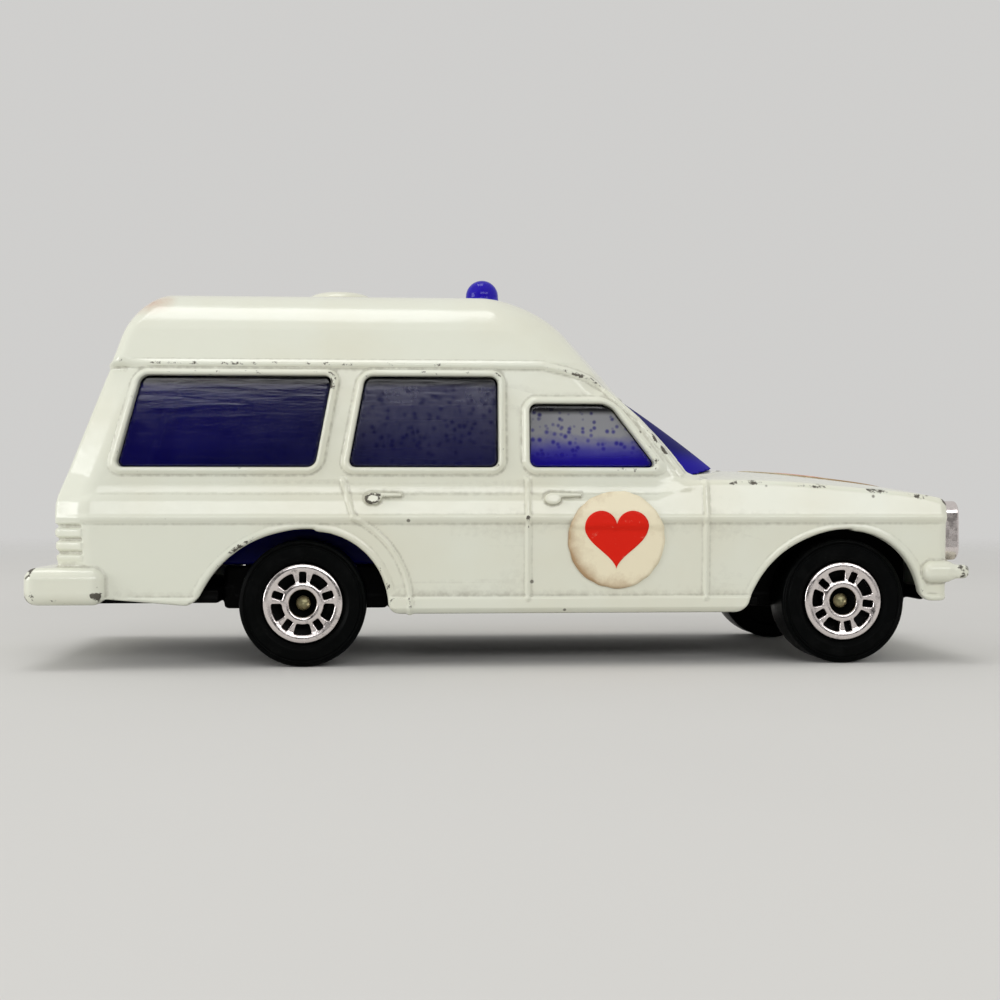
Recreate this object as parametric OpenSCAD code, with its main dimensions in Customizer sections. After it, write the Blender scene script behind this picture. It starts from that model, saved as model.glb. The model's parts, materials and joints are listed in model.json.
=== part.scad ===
// Toy ambulance about three inches long: a die-cast body with a high roof, a tinted
// window moulding with a beacon, rolling wheels and a tailgate that lifts.
// Frame: +X to the front, +Y to the left side, +Z up, ground at zero, all in mm.

/* [Overall] */
// Length over both bumpers
overall_l = 75; // [68:0.5:84]
// Width of the body over its side crease
body_w = 28.5; // [25:0.1:32]
// Height of the roof above the ground
roof_z = 30.3; // [28:0.1:33]
// Thickness of the casting
wall = 1.2; // [0.8:0.05:1.6]
// Gap between parts that are fixed to each other
fit_gap = 0.08; // [0.04:0.01:0.15]

/* [Body side] */
// Height of the sill's lower edge
sill_z = 4.15; // [3.6:0.05:4.6]
// Height of the sill moulding
sill_bar_h = 1.25; // [0.8:0.05:1.6]
// Height of the lower edge behind the rear wheels
skirt_z = 4.85; // [4:0.05:5.6]
// How much the skirt rises towards the rear bumper
skirt_rise = 0.5; // [0:0.05:0.7]
// Height of the crease along the side
crease_z = 11.8; // [11:0.1:12.6]
// Height of the belt line below the windows
belt_z = 14.7; // [14.2:0.1:15.2]
// Height of the drip rail
rail_z = 23.9; // [23.2:0.1:24.6]
// How far the sill lies inside the crease
sill_inset = 0.45; // [0.2:0.05:0.8]
// How far the belt lies inside the crease
belt_inset = 0.4; // [0.2:0.05:0.7]
// Width of the ledge at the belt
belt_ledge = 0.3; // [0.1:0.05:0.6]
// How far the side below the drip rail lies inside the crease
rail_inset = 1.6; // [1:0.1:2.2]
// Height of the drip rail bead
rail_h = 0.55; // [0.3:0.05:0.9]
// How far the drip rail stands proud
rail_proud = 0.3; // [0.15:0.05:0.5]
// How far the top of the roof's side lies inside the crease
shoulder_inset = 2.7; // [2.1:0.1:3.4]
// Radius of the roof's long edges
roof_edge_r = 3; // [2:0.1:4]
// Rise of the roof crown over its edges
roof_crown = 0.5; // [0.2:0.05:0.9]

/* [Tail] */
// How far the rear bumper reaches behind the tail
rear_reach = 2.1; // [1.4:0.1:2.8]
// Height where the tail starts to lean forward
knee_z = 13; // [12.4:0.1:13.8]
// Lean of the tail in degrees
tail_lean = 19; // [17:0.1:21]
// Radius of the body's corners in plan
corner_r = 2.3; // [1.6:0.1:3]
// Radius from tail to roof
roof_tail_r = 2.4; // [1.4:0.1:3.2]
// Lower edge of the tail-lamp ribs
lamp_rib_z = 8.7; // [8.4:0.1:9.4]
// Spacing of the tail-lamp ribs
lamp_rib_pitch = 1.02; // [0.8:0.02:1.2]
// Height of each tail-lamp rib
lamp_rib_h = 0.62; // [0.4:0.02:0.7]
// How far along the side the tail-lamps reach
lamp_rib_l = 2.6; // [1.8:0.1:3.4]

/* [Nose and bonnet] */
// How far the front bumper reaches ahead of the nose
front_reach = 1.7; // [1.2:0.1:2.4]
// Height of the front panel's lower edge
valance_z = 5; // [4.4:0.1:5.6]
// How far the bonnet's highest point lies behind the windscreen's foot
bonnet_top_gap = 1.4; // [0.8:0.1:2.2]
// Height of the bonnet's highest point
bonnet_z = 15.72; // [15.3:0.02:16.2]
// Radius of the bonnet along the car
bonnet_r = 80; // [70:1:95]
// Radius of the bonnet across the car
bonnet_crown_r = 95; // [80:1:130]
// Height and length of the rounded front edge of the bonnet
nose_ease = 1; // [0.6:0.1:1.5]
// Radius of the nose's corners in plan
nose_corner_r = 0.8; // [0.6:0.05:1.2]

/* [Roof front and windscreen] */
// Length of the falling roof ahead of the level part, up to the windscreen
dome_l = 12.5; // [12:0.1:13]
// Radius of the bend where the roof starts to fall
dome_r = 10; // [9.4:0.1:10.6]
// Turn of that bend in degrees
dome_turn = 46; // [44:0.5:47]
// Radius of the falling roof's long edges
brow_edge_r = 2.4; // [1.8:0.1:2.8]
// How far those edges start inside the body's sides
brow_side = 2.25; // [2:0.05:2.5]
// How much those edges spread towards the windscreen in degrees
brow_spread = 11; // [9:0.5:14]
// Length of the windscreen on the centre line
screen_l = 8.4; // [8:0.1:8.8]
// Height of the windscreen's upper edge
brow_z = 21.5; // [21.2:0.1:21.8]
// Distance of the windscreen's bend from its foot
screen_bend_l = 3.1; // [2.6:0.1:3.6]
// Height of the windscreen's bend
screen_bend_z = 18.35; // [18:0.05:18.7]
// Length of the bonnet from the windscreen's foot to the nose
hood_l = 16.4; // [15.8:0.1:17]
// How far the windscreen's middle bulges ahead of its pillars at the foot
screen_bulge = 6.5; // [6.1:0.1:6.7]
// Lean of the front pillar from upright in degrees
pillar_lean = 43; // [41.5:0.5:44]

/* [Windows] */
// Height of the windows' lower edges
pane_foot_z = 15.75; // [15.5:0.05:16.2]
// Height of the rear windows' upper edges
pane_head_z = 23; // [22.4:0.1:23]
// Height of the front door window's upper edge
door_pane_head_z = 20.85; // [20.3:0.05:21]
// Radius of the window corners
pane_r = 0.6; // [0.4:0.05:0.9]
// Length of the front door
front_door_l = 14.3; // [13.8:0.1:14.8]
// Gap from the door line to the front door window
front_pane_gap = 0.2; // [0.15:0.05:0.6]
// Length of the front door window at its foot
front_pane_l = 10.3; // [9.4:0.1:10.3]
// Gap from the door line to the rear door window
rear_pane_gap = 2.3; // [2:0.05:2.8]
// Length of the rear door window at its foot
rear_pane_l = 11.9; // [11:0.1:12.2]
// Width of the pillar between rear door and bay window
bay_pillar_w = 2.6; // [2.3:0.05:3.2]
// Length of the bay window at its foot
bay_pane_l = 15.5; // [14.4:0.1:15.7]
// Lean of the bay window's rear edge in degrees
bay_rear_lean = 14.5; // [12:0.5:17]
// Lean of the edges on both sides of the bay pillar in degrees
bay_pillar_lean = 10.5; // [8:0.5:13]
// Lean of the front door window's front edge in degrees
front_pane_lean = -37; // [-40:0.5:-34]
// Distance of the window moulding's rear end from the tail
glass_rear_gap = 2.45; // [2.35:0.05:2.6]
// Width of the raised window frames
frame_w = 0.55; // [0.4:0.05:0.6]
// How far the window frames stand proud
frame_proud = 0.24; // [0.1:0.02:0.35]
// How far the windscreen opening's foot stays inside the body's side
screen_side = 2.35; // [2:0.05:3]
// How much the windscreen opening narrows on each side
screen_taper = 0.9; // [0.4:0.1:1.4]
// Height of the windscreen opening's foot
screen_foot_z = 16.35; // [16.2:0.05:16.8]
// Thickness of the window moulding
pane_t = 0.8; // [0.6:0.05:1]
// How deep the side panes lie below the body surface
pane_depth = 0.6; // [0.35:0.05:0.9]
// How deep the windscreen lies below the body surface
screen_depth = 0.2; // [0.1:0.05:0.4]

/* [Beacon and vent] */
// Distance of the beacon ahead of the roof's level part
beacon_gap = 0.35; // [0:0.05:1]
// Diameter of the beacon
beacon_d = 2.86; // [2.2:0.02:3.4]
// Height of the beacon above the roof
beacon_rise = 2.2; // [1.6:0.05:3]
// Distance of the roof vent behind the end of the level roof
vent_gap = 12.1; // [9:0.1:14]
// Height of the roof vent above the roof
vent_rise = 1.25; // [0.8:0.05:1.7]
// Radius of the roof vent
vent_r = 2.9; // [2.2:0.1:3.6]

/* [Bumpers] */
// Length of the rear bumper along the side
rear_bumper_l = 6.2; // [5:0.1:7.4]
// Height of the rear bumper's lower edge
rear_bumper_z = 4.95; // [4.6:0.05:5.3]
// Height of the rear bumper
rear_bumper_h = 2.95; // [2.4:0.05:3.2]
// Length of the front bumper along the side
front_bumper_l = 3.8; // [3:0.1:4.4]
// Height of the front bumper's lower edge
front_bumper_z = 6.5; // [6.1:0.05:6.8]
// Height of the front bumper
front_bumper_h = 1.75; // [1.3:0.05:1.9]
// How far the bumpers stand proud of the side
bumper_proud = 0.25; // [0.1:0.05:0.5]
// Radius of the bumpers' long edges
bumper_r = 0.7; // [0.4:0.05:0.8]
// Radius of the bumpers' corners in plan
bumper_corner_r = 0.9; // [0.7:0.05:1.4]
// How far the front bumper's blade reaches ahead of its thicker ends
blade_l = 1.2; // [0.8:0.1:1.6]
// Height of the front bumper's blade
blade_h = 1.1; // [0.9:0.05:1.2]

/* [Doors] */
// Width of the raised door lines
ridge_w = 0.36; // [0.2:0.02:0.5]
// How far the door lines stand proud
ridge_proud = 0.14; // [0.08:0.02:0.25]
// Distance of the front door's leading edge from the windscreen's foot
door_front_gap = 3.4; // [3:0.1:3.8]
// Distance of the rear door's upper corner from the rear axle
door_rear_gap = 3.15; // [2.5:0.05:3.8]
// Radius of the rear door's edge around the wheel arch
door_arch_r = 7.7; // [7.3:0.1:8.2]
// Height of the door handles
handle_z = 13.45; // [13:0.05:13.8]
// Length of a door handle
handle_l = 2.95; // [2.2:0.05:3.6]
// Height of a door handle's thick end
handle_h = 0.95; // [0.6:0.05:1.2]
// How far the handles stand proud
handle_proud = 0.45; // [0.25:0.05:0.7]
// Distance of the front handle from the door line
front_handle_gap = 1.3; // [0.9:0.05:1.8]
// Distance of the rear handle from the rear door's edge
rear_handle_gap = 1.7; // [1.2:0.05:2.4]

/* [Wheels] */
// Distance of the front axle from the nose
front_overhang = 8.55; // [8.2:0.05:9]
// Distance of the rear axle from the tail
rear_overhang = 19.35; // [18.4:0.05:20.4]
// Diameter of the wheels
wheel_d = 10; // [9.2:0.1:10.6]
// Width of a wheel
wheel_w = 4.2; // [3.6:0.1:4.4]
// How far the wheels' outer faces lie inside the body's sides
wheel_tuck = 0.75; // [0.4:0.05:1.1]
// Radius of the wheel's shoulder
shoulder_r = 0.4; // [0.2:0.05:0.7]
// Radius of the wheel's dish
dish_r = 3.22; // [2.9:0.02:3.6]
// Depth of the wheel's dish
dish_depth = 0.9; // [0.6:0.05:1.2]
// Diameter of the axle wire
axle_d = 0.84; // [0.6:0.02:0.9]
// Diameter of the axle's domed end
axle_head_d = 1.16; // [1.14:0.02:1.5]
// Running gap of a wheel on its axle
run_gap = 0.05; // [0.03:0.01:0.08]
// Radius of the wheel arch
arch_r = 5.95; // [5.7:0.05:6.3]
// How far the rear arch lies ahead of its axle
rear_arch_shift = 0.75; // [0.4:0.05:0.9]
// How far the front arch lies ahead of its axle
front_arch_shift = 0.45; // [0.3:0.05:0.6]
// How far the arches lie below their axles
arch_shift_z = 0.25; // [0.1:0.05:0.5]
// Radius of the rear arch's sloping half
rear_arch_tail_r = 8.8; // [8.5:0.05:9]
// How far that half's centre lies below the rear axle
rear_arch_drop = 3; // [2.8:0.05:3.2]
// Radius of the front arch's sloping half
front_arch_tail_r = 8.05; // [7.8:0.05:8.2]
// How far that half's centre lies below the front axle
front_arch_drop = 2.4; // [2.2:0.05:2.6]

/* [Hub trim] */
// Width of the trim's outer ring
hub_rim_w = 0.66; // [0.4:0.02:0.8]
// Radius of the trim's centre hole
hub_hole_r = 1.09; // [0.95:0.01:1.25]
// Width of the trim's inner ring
hub_ring_w = 0.57; // [0.4:0.01:0.7]
// Width of the narrow slots
hub_slot_w = 0.55; // [0.35:0.01:0.7]
// Number of spoke pairs
hub_pairs = 5; // [4:1:6]
// Half the angle of the wide openings in degrees
hub_window_half = 17; // [12:0.5:19]
// Turn of the rear hubs in degrees
rear_hub_turn = 90; // [0:1:360]
// Turn of the front hubs in degrees
front_hub_turn = 66; // [0:1:360]

/* [Base] */
// Height of the base plate's lower face
base_z = 4.3; // [4:0.05:4.5]
// Thickness of the base plate
base_t = 1.1; // [0.8:0.05:1.4]
// How much higher the base lies behind the rear and ahead of the front wheels
base_rise = 0.7; // [0.5:0.05:0.8]
// Gap between a wheel's inner face and the base
wheel_room = 0.5; // [0.4:0.05:0.8]
// Thickness of the wheel-well walls
well_t = 0.8; // [0.6:0.05:1]
// Height of the walls beside the rear wheels
rear_well_z = 7.8; // [7.2:0.1:8.6]
// Height of the walls beside the front wheels
front_well_z = 11.4; // [9.5:0.1:12]
// Half the length of a wheel well
well_half_l = 6.6; // [5.8:0.1:7]
// Length of an axle bearing across the car
bearing_w = 2.2; // [1.4:0.1:3]
// Height of the axle bearings
bearing_h = 2.2; // [1.7:0.1:2.8]
// Half the length of an axle bearing along the car
bearing_half_l = 1.5; // [1.1:0.1:2]
// Diameter of the rivet shanks
rivet_d = 2.2; // [1.6:0.1:2.8]
// Diameter of the rivet heads
rivet_head_d = 3.8; // [3.2:0.1:4.4]
// Thickness of the rivet heads
rivet_head_t = 0.45; // [0.3:0.05:0.5]
// Length of the rivet shanks above the base
rivet_l = 2.4; // [1.6:0.1:3]
// Distance of the front rivet behind the front axle
front_rivet_gap = 5.45; // [4.8:0.05:6]
// Distance of the rear rivet from the tail
rear_rivet_gap = 4.4; // [3.8:0.1:5]
// Wall around the rivets
boss_wall = 0.9; // [0.6:0.1:1.2]

/* [Patient bay] */
// Thickness of the inner tray
tray_t = 0.8; // [0.6:0.05:1]
// Height of the tray's walls
tray_wall_h = 4.6; // [3:0.1:5.4]
// Distance of the tray's rear end from the tail
tray_rear_gap = 7; // [6.2:0.1:9]
// Distance of the tray's front end behind the door line
tray_front_gap = 3.7; // [1:0.1:6]

/* [Tailgate] */
// How far the tailgate's edges stay inside the body's sides
gate_side = 4.45; // [4:0.05:5.2]
// Height of the tailgate's lower edge
gate_foot_z = 8.5; // [8.3:0.1:9]
// Height of the hinge
hinge_z = 22.9; // [22.4:0.1:23.1]
// Radius of the hinge bead
hinge_r = 0.65; // [0.5:0.05:0.7]
// Diameter of the hinge pins
hinge_pin_d = 0.7; // [0.5:0.02:0.8]
// Length of the hinge pins
hinge_pin_l = 0.9; // [0.6:0.05:1.1]
// Gap around the tailgate
gate_gap = 0.18; // [0.12:0.01:0.25]
// Width of the tailgate beside its window
gate_frame_w = 2.3; // [1.8:0.1:3]
// Lower edge of the tailgate window
gate_pane_foot_z = 15.75; // [15.2:0.05:16.4]
// Upper edge of the tailgate window
gate_pane_head_z = 20.8; // [20:0.1:21.2]
// Width of the pane's rim behind the tailgate
gate_pane_rim = 0.6; // [0.4:0.05:0.9]
// Half the width of the tailgate grip
grip_half_w = 1.7; // [1:0.1:2.4]
// Height of the tailgate grip
grip_z = 11.9; // [11:0.1:12.4]
// Size of the tailgate grip
grip_d = 0.8; // [0.5:0.05:1]

/* [Grille and lamps] */
// Gap between the body's side and a headlamp
lamp_side = 1.35; // [1:0.05:2]
// Width of a headlamp
lamp_w = 3.8; // [3:0.1:4.2]
// Lower edge of the headlamps
lamp_z = 8.55; // [8.4:0.05:9]
// Height of a headlamp
lamp_h = 4.2; // [3.4:0.1:4.4]
// Radius of the headlamp's corners
lamp_r = 1.1; // [0.6:0.1:1.4]
// How far the headlamps stand ahead of the nose
lamp_proud = 1; // [0.6:0.05:1.1]
// Half the width of the grille
grille_half_w = 6; // [4.8:0.1:7]
// Height of the grille
grille_h = 3.7; // [3:0.1:3.9]
// How far the grille stands ahead of the nose
grille_proud = 0.35; // [0.2:0.05:0.7]
// Number of grille bars
grille_bars = 5; // [4:1:7]
// Depth of the grooves between the bars
grille_groove = 0.5; // [0.3:0.05:0.6]

/* [Labels] */
// Place of the door labels ahead of the door's middle
label_shift = -0.1; // [-1:0.05:1]
// Height of the door labels' centre
label_z = 10; // [9.6:0.05:10.4]
// Radius of the door labels
label_r = 3.87; // [3.2:0.05:4]
// Thickness of the labels
label_t = 0.1; // [0.06:0.01:0.15]
// Place of the bonnet label ahead of the front axle
bonnet_label_shift = 1.05; // [0.2:0.05:1.1]
// Radius of the bonnet label
bonnet_label_r = 6.4; // [5:0.1:6.6]

/* [Hidden] */
$fn = 48;
cut = 1;                               // overrun of every cut
span = 2 * overall_l;                  // longer than any part
half_w = body_w / 2;
tail_x = rear_reach - overall_l / 2;
nose_x = overall_l / 2 - front_reach;
front_axle_x = nose_x - front_overhang;
rear_axle_x = tail_x + rear_overhang;
cowl_x = nose_x - hood_l;
bonnet_x = cowl_x - bonnet_top_gap;
pillar_foot_x = cowl_x - screen_bulge;
screen_bend_x = cowl_x - screen_bend_l;
brow_x = cowl_x - screen_l;
dome_x = brow_x - dome_l;
beacon_top_z = roof_z + beacon_rise;
front_bar_x = overall_l / 2 - front_bumper_l;
blade_z = front_bumper_z + (front_bumper_h - blade_h) / 2;
beacon_x = dome_x + beacon_gap;
vent_x = dome_x - vent_gap;
door_front_x = cowl_x - door_front_gap;
door_line_x = door_front_x - front_door_l;
door_rear_x = rear_axle_x + door_rear_gap;
label_x = (door_line_x + door_front_x) / 2 + label_shift;
bonnet_label_x = front_axle_x + bonnet_label_shift;
front_rivet_x = front_axle_x - front_rivet_gap;
track_w = body_w - 2 * wheel_tuck;
base_waist = track_w / 2 - wheel_w - wheel_room;
tray_half_w = base_waist;
tray_front_x = door_line_x - tray_front_gap;
gate_half_w = half_w - gate_side;
gate_pane_half_w = gate_half_w - gate_frame_w;
screen_half_w = half_w - screen_side;
lamp_y = half_w - lamp_side - lamp_w / 2;
axle_z = wheel_d / 2;
lean_step = tan(tail_lean);
lean_normal = 1 / cos(tail_lean);
bar_z = sill_z + sill_bar_h;
base_top_z = base_z + base_t;
base_end_z = base_top_z + base_rise;
glass_inset = wall + fit_gap;
hinge_x = tail_at(hinge_z) + hinge_r * lean_normal;
axle_l = track_w - 2 * (dish_depth + run_gap);
rear_rivet_x = tail_x + rear_rivet_gap;
rivet_seats = [[front_rivet_x, 0, base_z], [rear_rivet_x, 0, base_z + base_rise]];
front_pane_x = door_line_x + front_pane_gap;
rear_pane_x = door_line_x - rear_pane_gap - rear_pane_l;
bay_pane_x = rear_pane_x - bay_pillar_w - bay_pane_l;
grille_back_x = nose_x - wall - fit_gap;
paint = [0.89, 0.89, 0.83];
blue = [0.12, 0.08, 0.5];
black = [0.08, 0.08, 0.08];
plated = [0.8, 0.8, 0.8];
paper = [0.89, 0.82, 0.68];
brass = [0.72, 0.66, 0.42];

// X of the outer tail face at a height
function tail_at(z) = tail_x + max(0, z - knee_z) * lean_step;
// Corners of a window from its foot length, heights and edge leans
function pane_points(x, l, head_z, rear_lean, front_lean) =
    let (h = head_z - pane_foot_z)
    [[x, pane_foot_z], [x + l, pane_foot_z],
     [x + l + h * tan(front_lean), head_z], [x + h * tan(rear_lean), head_z]];
// Corners of a straight strip of a width between two points
function strip_points(p, q, w) =
    let (d = q - p, n = [-d[1], d[0]] / norm(d) * w / 2)
    [p - n, q - n, q + n, p + n];
// Points of an arc from angle a to angle b
function arc_points(c, r, a, b, n) =
    [for (i = [0:n]) let (t = a + (b - a) * i / n) c + r * [cos(t), sin(t)]];

// Helpers
module along_x(l) { rotate([90, 0, 90]) linear_extrude(height = l, center = true) children(); }
module along_y(l) { rotate([90, 0, 0]) linear_extrude(height = l, center = true) children(); }
module soften(r) { offset(r = r, $fn = 24) offset(delta = -r) children(); }
module both_sides() { children(); mirror([0, 1, 0]) children(); }
module rod_y(x, z, r, l) { translate([x, 0, z]) rotate([90, 0, 0]) cylinder(r = r, h = l, center = true); }
// A flat rectangle from one corner to the other
module patch(p, q) { translate(p) square(q - p); }
// A box from one corner to the other
module block(p, q) { translate(p) cube(q - p); }

// Side, section and plan of the lower body
module tub_side(inset, open) {
    low = open ? [[tail_x, -sill_z], [nose_x, -sill_z]]
               : [[tail_x, skirt_z + skirt_rise], [rear_axle_x - rear_arch_tail_r, skirt_z],
                  [rear_axle_x, skirt_z], [rear_axle_x, sill_z],
                  [front_axle_x, sill_z], [front_axle_x, valance_z],
                  [nose_x, valance_z]];
    hood_z = bonnet_z + cut;
    offset(delta = -inset) polygon(concat(low,
        [[nose_x, belt_z - 2 * nose_ease], [nose_x - nose_ease, belt_z - nose_ease / 2],
         [nose_x - nose_ease, hood_z], [pillar_foot_x, hood_z], [pillar_foot_x, belt_z],
         [tail_at(belt_z), belt_z], [tail_x, knee_z]]));
}
module tub_section(inset, open) {
    low_z = open ? -sill_z : sill_z;
    sill_w = half_w - sill_inset;
    crown_z = bonnet_z + cut;
    half = [[sill_w - sill_bar_h / 3, low_z], [sill_w, sill_z + sill_bar_h / 3], [sill_w, bar_z],
            [sill_w - ridge_proud, bar_z + ridge_proud], [half_w, crease_z],
            [half_w - belt_inset, belt_z], [half_w - belt_inset, crown_z]];
    offset(delta = -inset)
        polygon(concat(half, [for (i = [len(half) - 1:-1:0]) [-half[i][0], half[i][1]]]));
}
module tub_plan(inset) {
    offset(delta = -inset) intersection() {
        soften(corner_r) patch([tail_x, -half_w], [span, half_w]);
        soften(nose_corner_r) patch([-span, -half_w], [nose_x, half_w]);
    }
}
module bonnet_air(inset) {
    n = 7;
    reach = half_w + cut;
    edge = [for (i = [-n:n]) let (y = reach * i / n)
            [bonnet_r - inset - y * y / (2 * bonnet_crown_r), y]];
    difference() {
        block([pillar_foot_x, -reach, crease_z], [nose_x + cut, reach, bonnet_z + 2 * cut]);
        translate([bonnet_x, 0, bonnet_z - bonnet_r]) rotate([90, 0, 0]) rotate_extrude($fn = 180)
            polygon(concat([[0, -reach]], [for (e = edge) e], [[0, reach]]));
    }
}
module tub(inset, open = false) {
    difference() {
        intersection() {
            along_y(span) tub_side(inset, open);
            along_x(span) tub_section(inset, open);
            linear_extrude(height = span, center = true) tub_plan(inset);
        }
        bonnet_air(inset);
    }
}

// Side, section and corners of the cabin and high roof
module cabin_side(inset) {
    dome = arc_points([dome_x, roof_z - dome_r], dome_r, 90, 90 - dome_turn, 10);
    offset(delta = -inset) union() {
        soften(roof_tail_r) polygon([[tail_x, bar_z], [tail_x, knee_z], [tail_at(roof_z), roof_z],
                                     [dome_x, roof_z], [dome_x, bar_z]]);
        polygon(concat([[dome_x - roof_tail_r, bar_z], [dome_x - roof_tail_r, roof_z]], dome,
            [[brow_x, brow_z], [screen_bend_x, screen_bend_z], [cowl_x, bonnet_z], [cowl_x, bar_z]]));
        patch([tail_x, bar_z], [dome_x, crease_z]);
    }
}
module cabin_section(inset) {
    foot_w = half_w - belt_inset - belt_ledge;
    rail_w = half_w - rail_inset;
    top_w = half_w - shoulder_inset;
    edge_z = roof_z - roof_crown;
    half = concat([[foot_w, bar_z], [foot_w, belt_z], [rail_w, rail_z - rail_h / 2],
            [rail_w + rail_proud, rail_z - rail_h / 4], [rail_w + rail_proud, rail_z + rail_h / 4],
            [rail_w, rail_z + rail_h / 2]],
            arc_points([top_w - roof_edge_r, edge_z - roof_edge_r], roof_edge_r, 0, 80, 8));
    offset(delta = -inset) polygon(concat(half, [[0, roof_z]],
            [for (i = [len(half) - 1:-1:0]) [-half[i][0], half[i][1]]]));
}
module cabin_corner(inset) {
    foot_w = half_w - belt_inset - belt_ledge;
    tumble = atan((rail_inset - belt_inset - belt_ledge) / (rail_z - belt_z));
    translate([tail_at(belt_z), -foot_w, belt_z]) rotate([-tumble, tail_lean, 0])
        linear_extrude(height = span, center = true) offset(delta = -inset) soften(corner_r)
            patch([-fit_gap, -fit_gap - rail_proud], [span, span]);
}
module cabin_front(inset) {
    bulge = (cowl_x - pillar_foot_x) * cos(pillar_lean);
    sweep_r = (half_w * half_w + bulge * bulge) / (2 * bulge);
    translate([pillar_foot_x, 0, pane_foot_z]) rotate([0, -pillar_lean, 0])
        linear_extrude(height = span, center = true) offset(delta = -inset) intersection() {
            translate([bulge - sweep_r, 0]) circle(r = sweep_r, $fn = 96);
            patch([-span, -half_w - cut], [span, half_w + cut]);
        }
}
// Section of the falling roof from its ridge at zero to one rounded edge, open on the other side
module fall_section(inset) {
    w = half_w - brow_side;
    low = roof_crown + brow_edge_r;
    flare = 2 * brow_edge_r;
    offset(delta = -inset) polygon(concat([[-span, -span], [-span, 0], [0, 0]],
        arc_points([w - brow_edge_r, -low], brow_edge_r, 90, 0, 8),
        [[w + flare, -low - flare], [w + flare, -span]]));
}
// The air over the falling roof, whose long edges are rounded
module dome_air(inset) {
    reach = half_w + cut;
    difference() {
        block([dome_x, -reach, brow_z], [cowl_x, reach, roof_z + cut]);
        translate([dome_x, 0, roof_z - dome_r]) rotate([90, 0, 0]) rotate_extrude($fn = 120) intersection() {
            translate([dome_r, 0]) rotate(-90) intersection() {
                fall_section(inset);
                mirror([1, 0]) fall_section(inset);
            }
            patch([0, -reach], [dome_r + cut, reach]);
        }
        translate([dome_x + dome_r * sin(dome_turn), 0, roof_z - dome_r + dome_r * cos(dome_turn)])
            rotate([0, dome_turn, 0]) intersection() {
                block([-fit_gap, -span, -span], [span, span, span]);
                rotate([0, 0, brow_spread]) along_x(span) fall_section(inset);
                mirror([0, 1, 0]) rotate([0, 0, brow_spread]) along_x(span) fall_section(inset);
            }
    }
}
module cabin(inset) {
    difference() {
        intersection() {
            along_y(span) cabin_side(inset);
            along_x(span) cabin_section(inset);
            cabin_corner(inset);
            mirror([0, 1, 0]) cabin_corner(inset);
            cabin_front(inset);
        }
        dome_air(inset);
    }
}

// Openings and raised lines, as flat outlines seen from the side
module side_panes(grow) {
    offset(delta = grow) soften(pane_r) {
        polygon(pane_points(front_pane_x, front_pane_l, door_pane_head_z, 0, front_pane_lean));
        polygon(pane_points(rear_pane_x, rear_pane_l, pane_head_z, bay_pillar_lean, 0));
        polygon(pane_points(bay_pane_x, bay_pane_l, pane_head_z, bay_rear_lean, bay_pillar_lean));
    }
}
module screen_pane(grow) {
    head_w = screen_half_w - screen_taper;
    offset(delta = grow) soften(pane_r)
        polygon([[-screen_half_w, screen_foot_z], [screen_half_w, screen_foot_z],
                 [head_w, brow_z], [-head_w, brow_z]]);
}
module arch_outline(x, shift, tail_r, drop) {
    c = [x + shift, axle_z - arch_shift_z];
    t = [x, axle_z - drop];
    union() {
        translate(c) circle(r = arch_r, $fn = 96);
        patch([c[0] - arch_r, -cut], c + [arch_r, 0]);
        intersection() {
            translate(t) circle(r = tail_r, $fn = 96);
            patch([t[0] - tail_r - cut, -cut], [c[0], axle_z + tail_r]);
        }
    }
}
module door_lines() {
    c = [rear_axle_x + rear_arch_shift, axle_z - arch_shift_z];
    turn = 65;
    top = c + door_arch_r * [cos(turn), sin(turn)];
    patch([door_line_x - ridge_w / 2, bar_z], [door_line_x + ridge_w / 2, belt_z]);
    patch([door_front_x - ridge_w / 2, bar_z], [door_front_x + ridge_w / 2, belt_z]);
    polygon(strip_points(top, [door_rear_x, belt_z], ridge_w));
    polygon(concat(arc_points(c, door_arch_r - ridge_w / 2, 5, turn, 12),
                   arc_points(c, door_arch_r + ridge_w / 2, turn, 5, 12)));
}
module handle(x) {
    translate([x + handle_h / 2, handle_z]) circle(d = handle_h, $fn = 24);
    polygon([[x + handle_h / 2, handle_z - handle_h / 3], [x + handle_l, handle_z - handle_h / 6],
             [x + handle_l, handle_z + handle_h / 4], [x + handle_h / 2, handle_z + handle_h / 3]]);
}
module bar(x, l, z, h) {
    w = half_w + bumper_proud;
    r = min(bumper_r, 2 * h / 5);
    intersection() {
        along_y(span) soften(r) patch([x, z], [x + l, z + h]);
        along_x(span) soften(r) patch([-w, z], [w, z + h]);
        linear_extrude(height = span) soften(bumper_corner_r) patch([x - cut * (x > 0 ? span : 0), -w],
            [x + l + cut * (x > 0 ? 0 : span), w]);
    }
}
module lamp_outline(y, grow) {
    offset(delta = grow) soften(lamp_r) patch([y - lamp_w / 2, lamp_z], [y + lamp_w / 2, lamp_z + lamp_h]);
}
module grille_outline(grow) {
    offset(delta = grow) patch([-grille_half_w, lamp_z], [grille_half_w, lamp_z + grille_h]);
}
module gate_outline(shrink) {
    w = gate_half_w - shrink;
    patch([-w, gate_foot_z + shrink], [w, hinge_z]);
}
module tail_slab(l) { translate([tail_x, 0, 0]) along_x(2 * l) children(); }
module gate_pane_outline(grow) {
    offset(delta = grow) soften(pane_r) patch([-gate_pane_half_w, gate_pane_foot_z],
        [gate_pane_half_w, gate_pane_head_z]);
}

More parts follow.
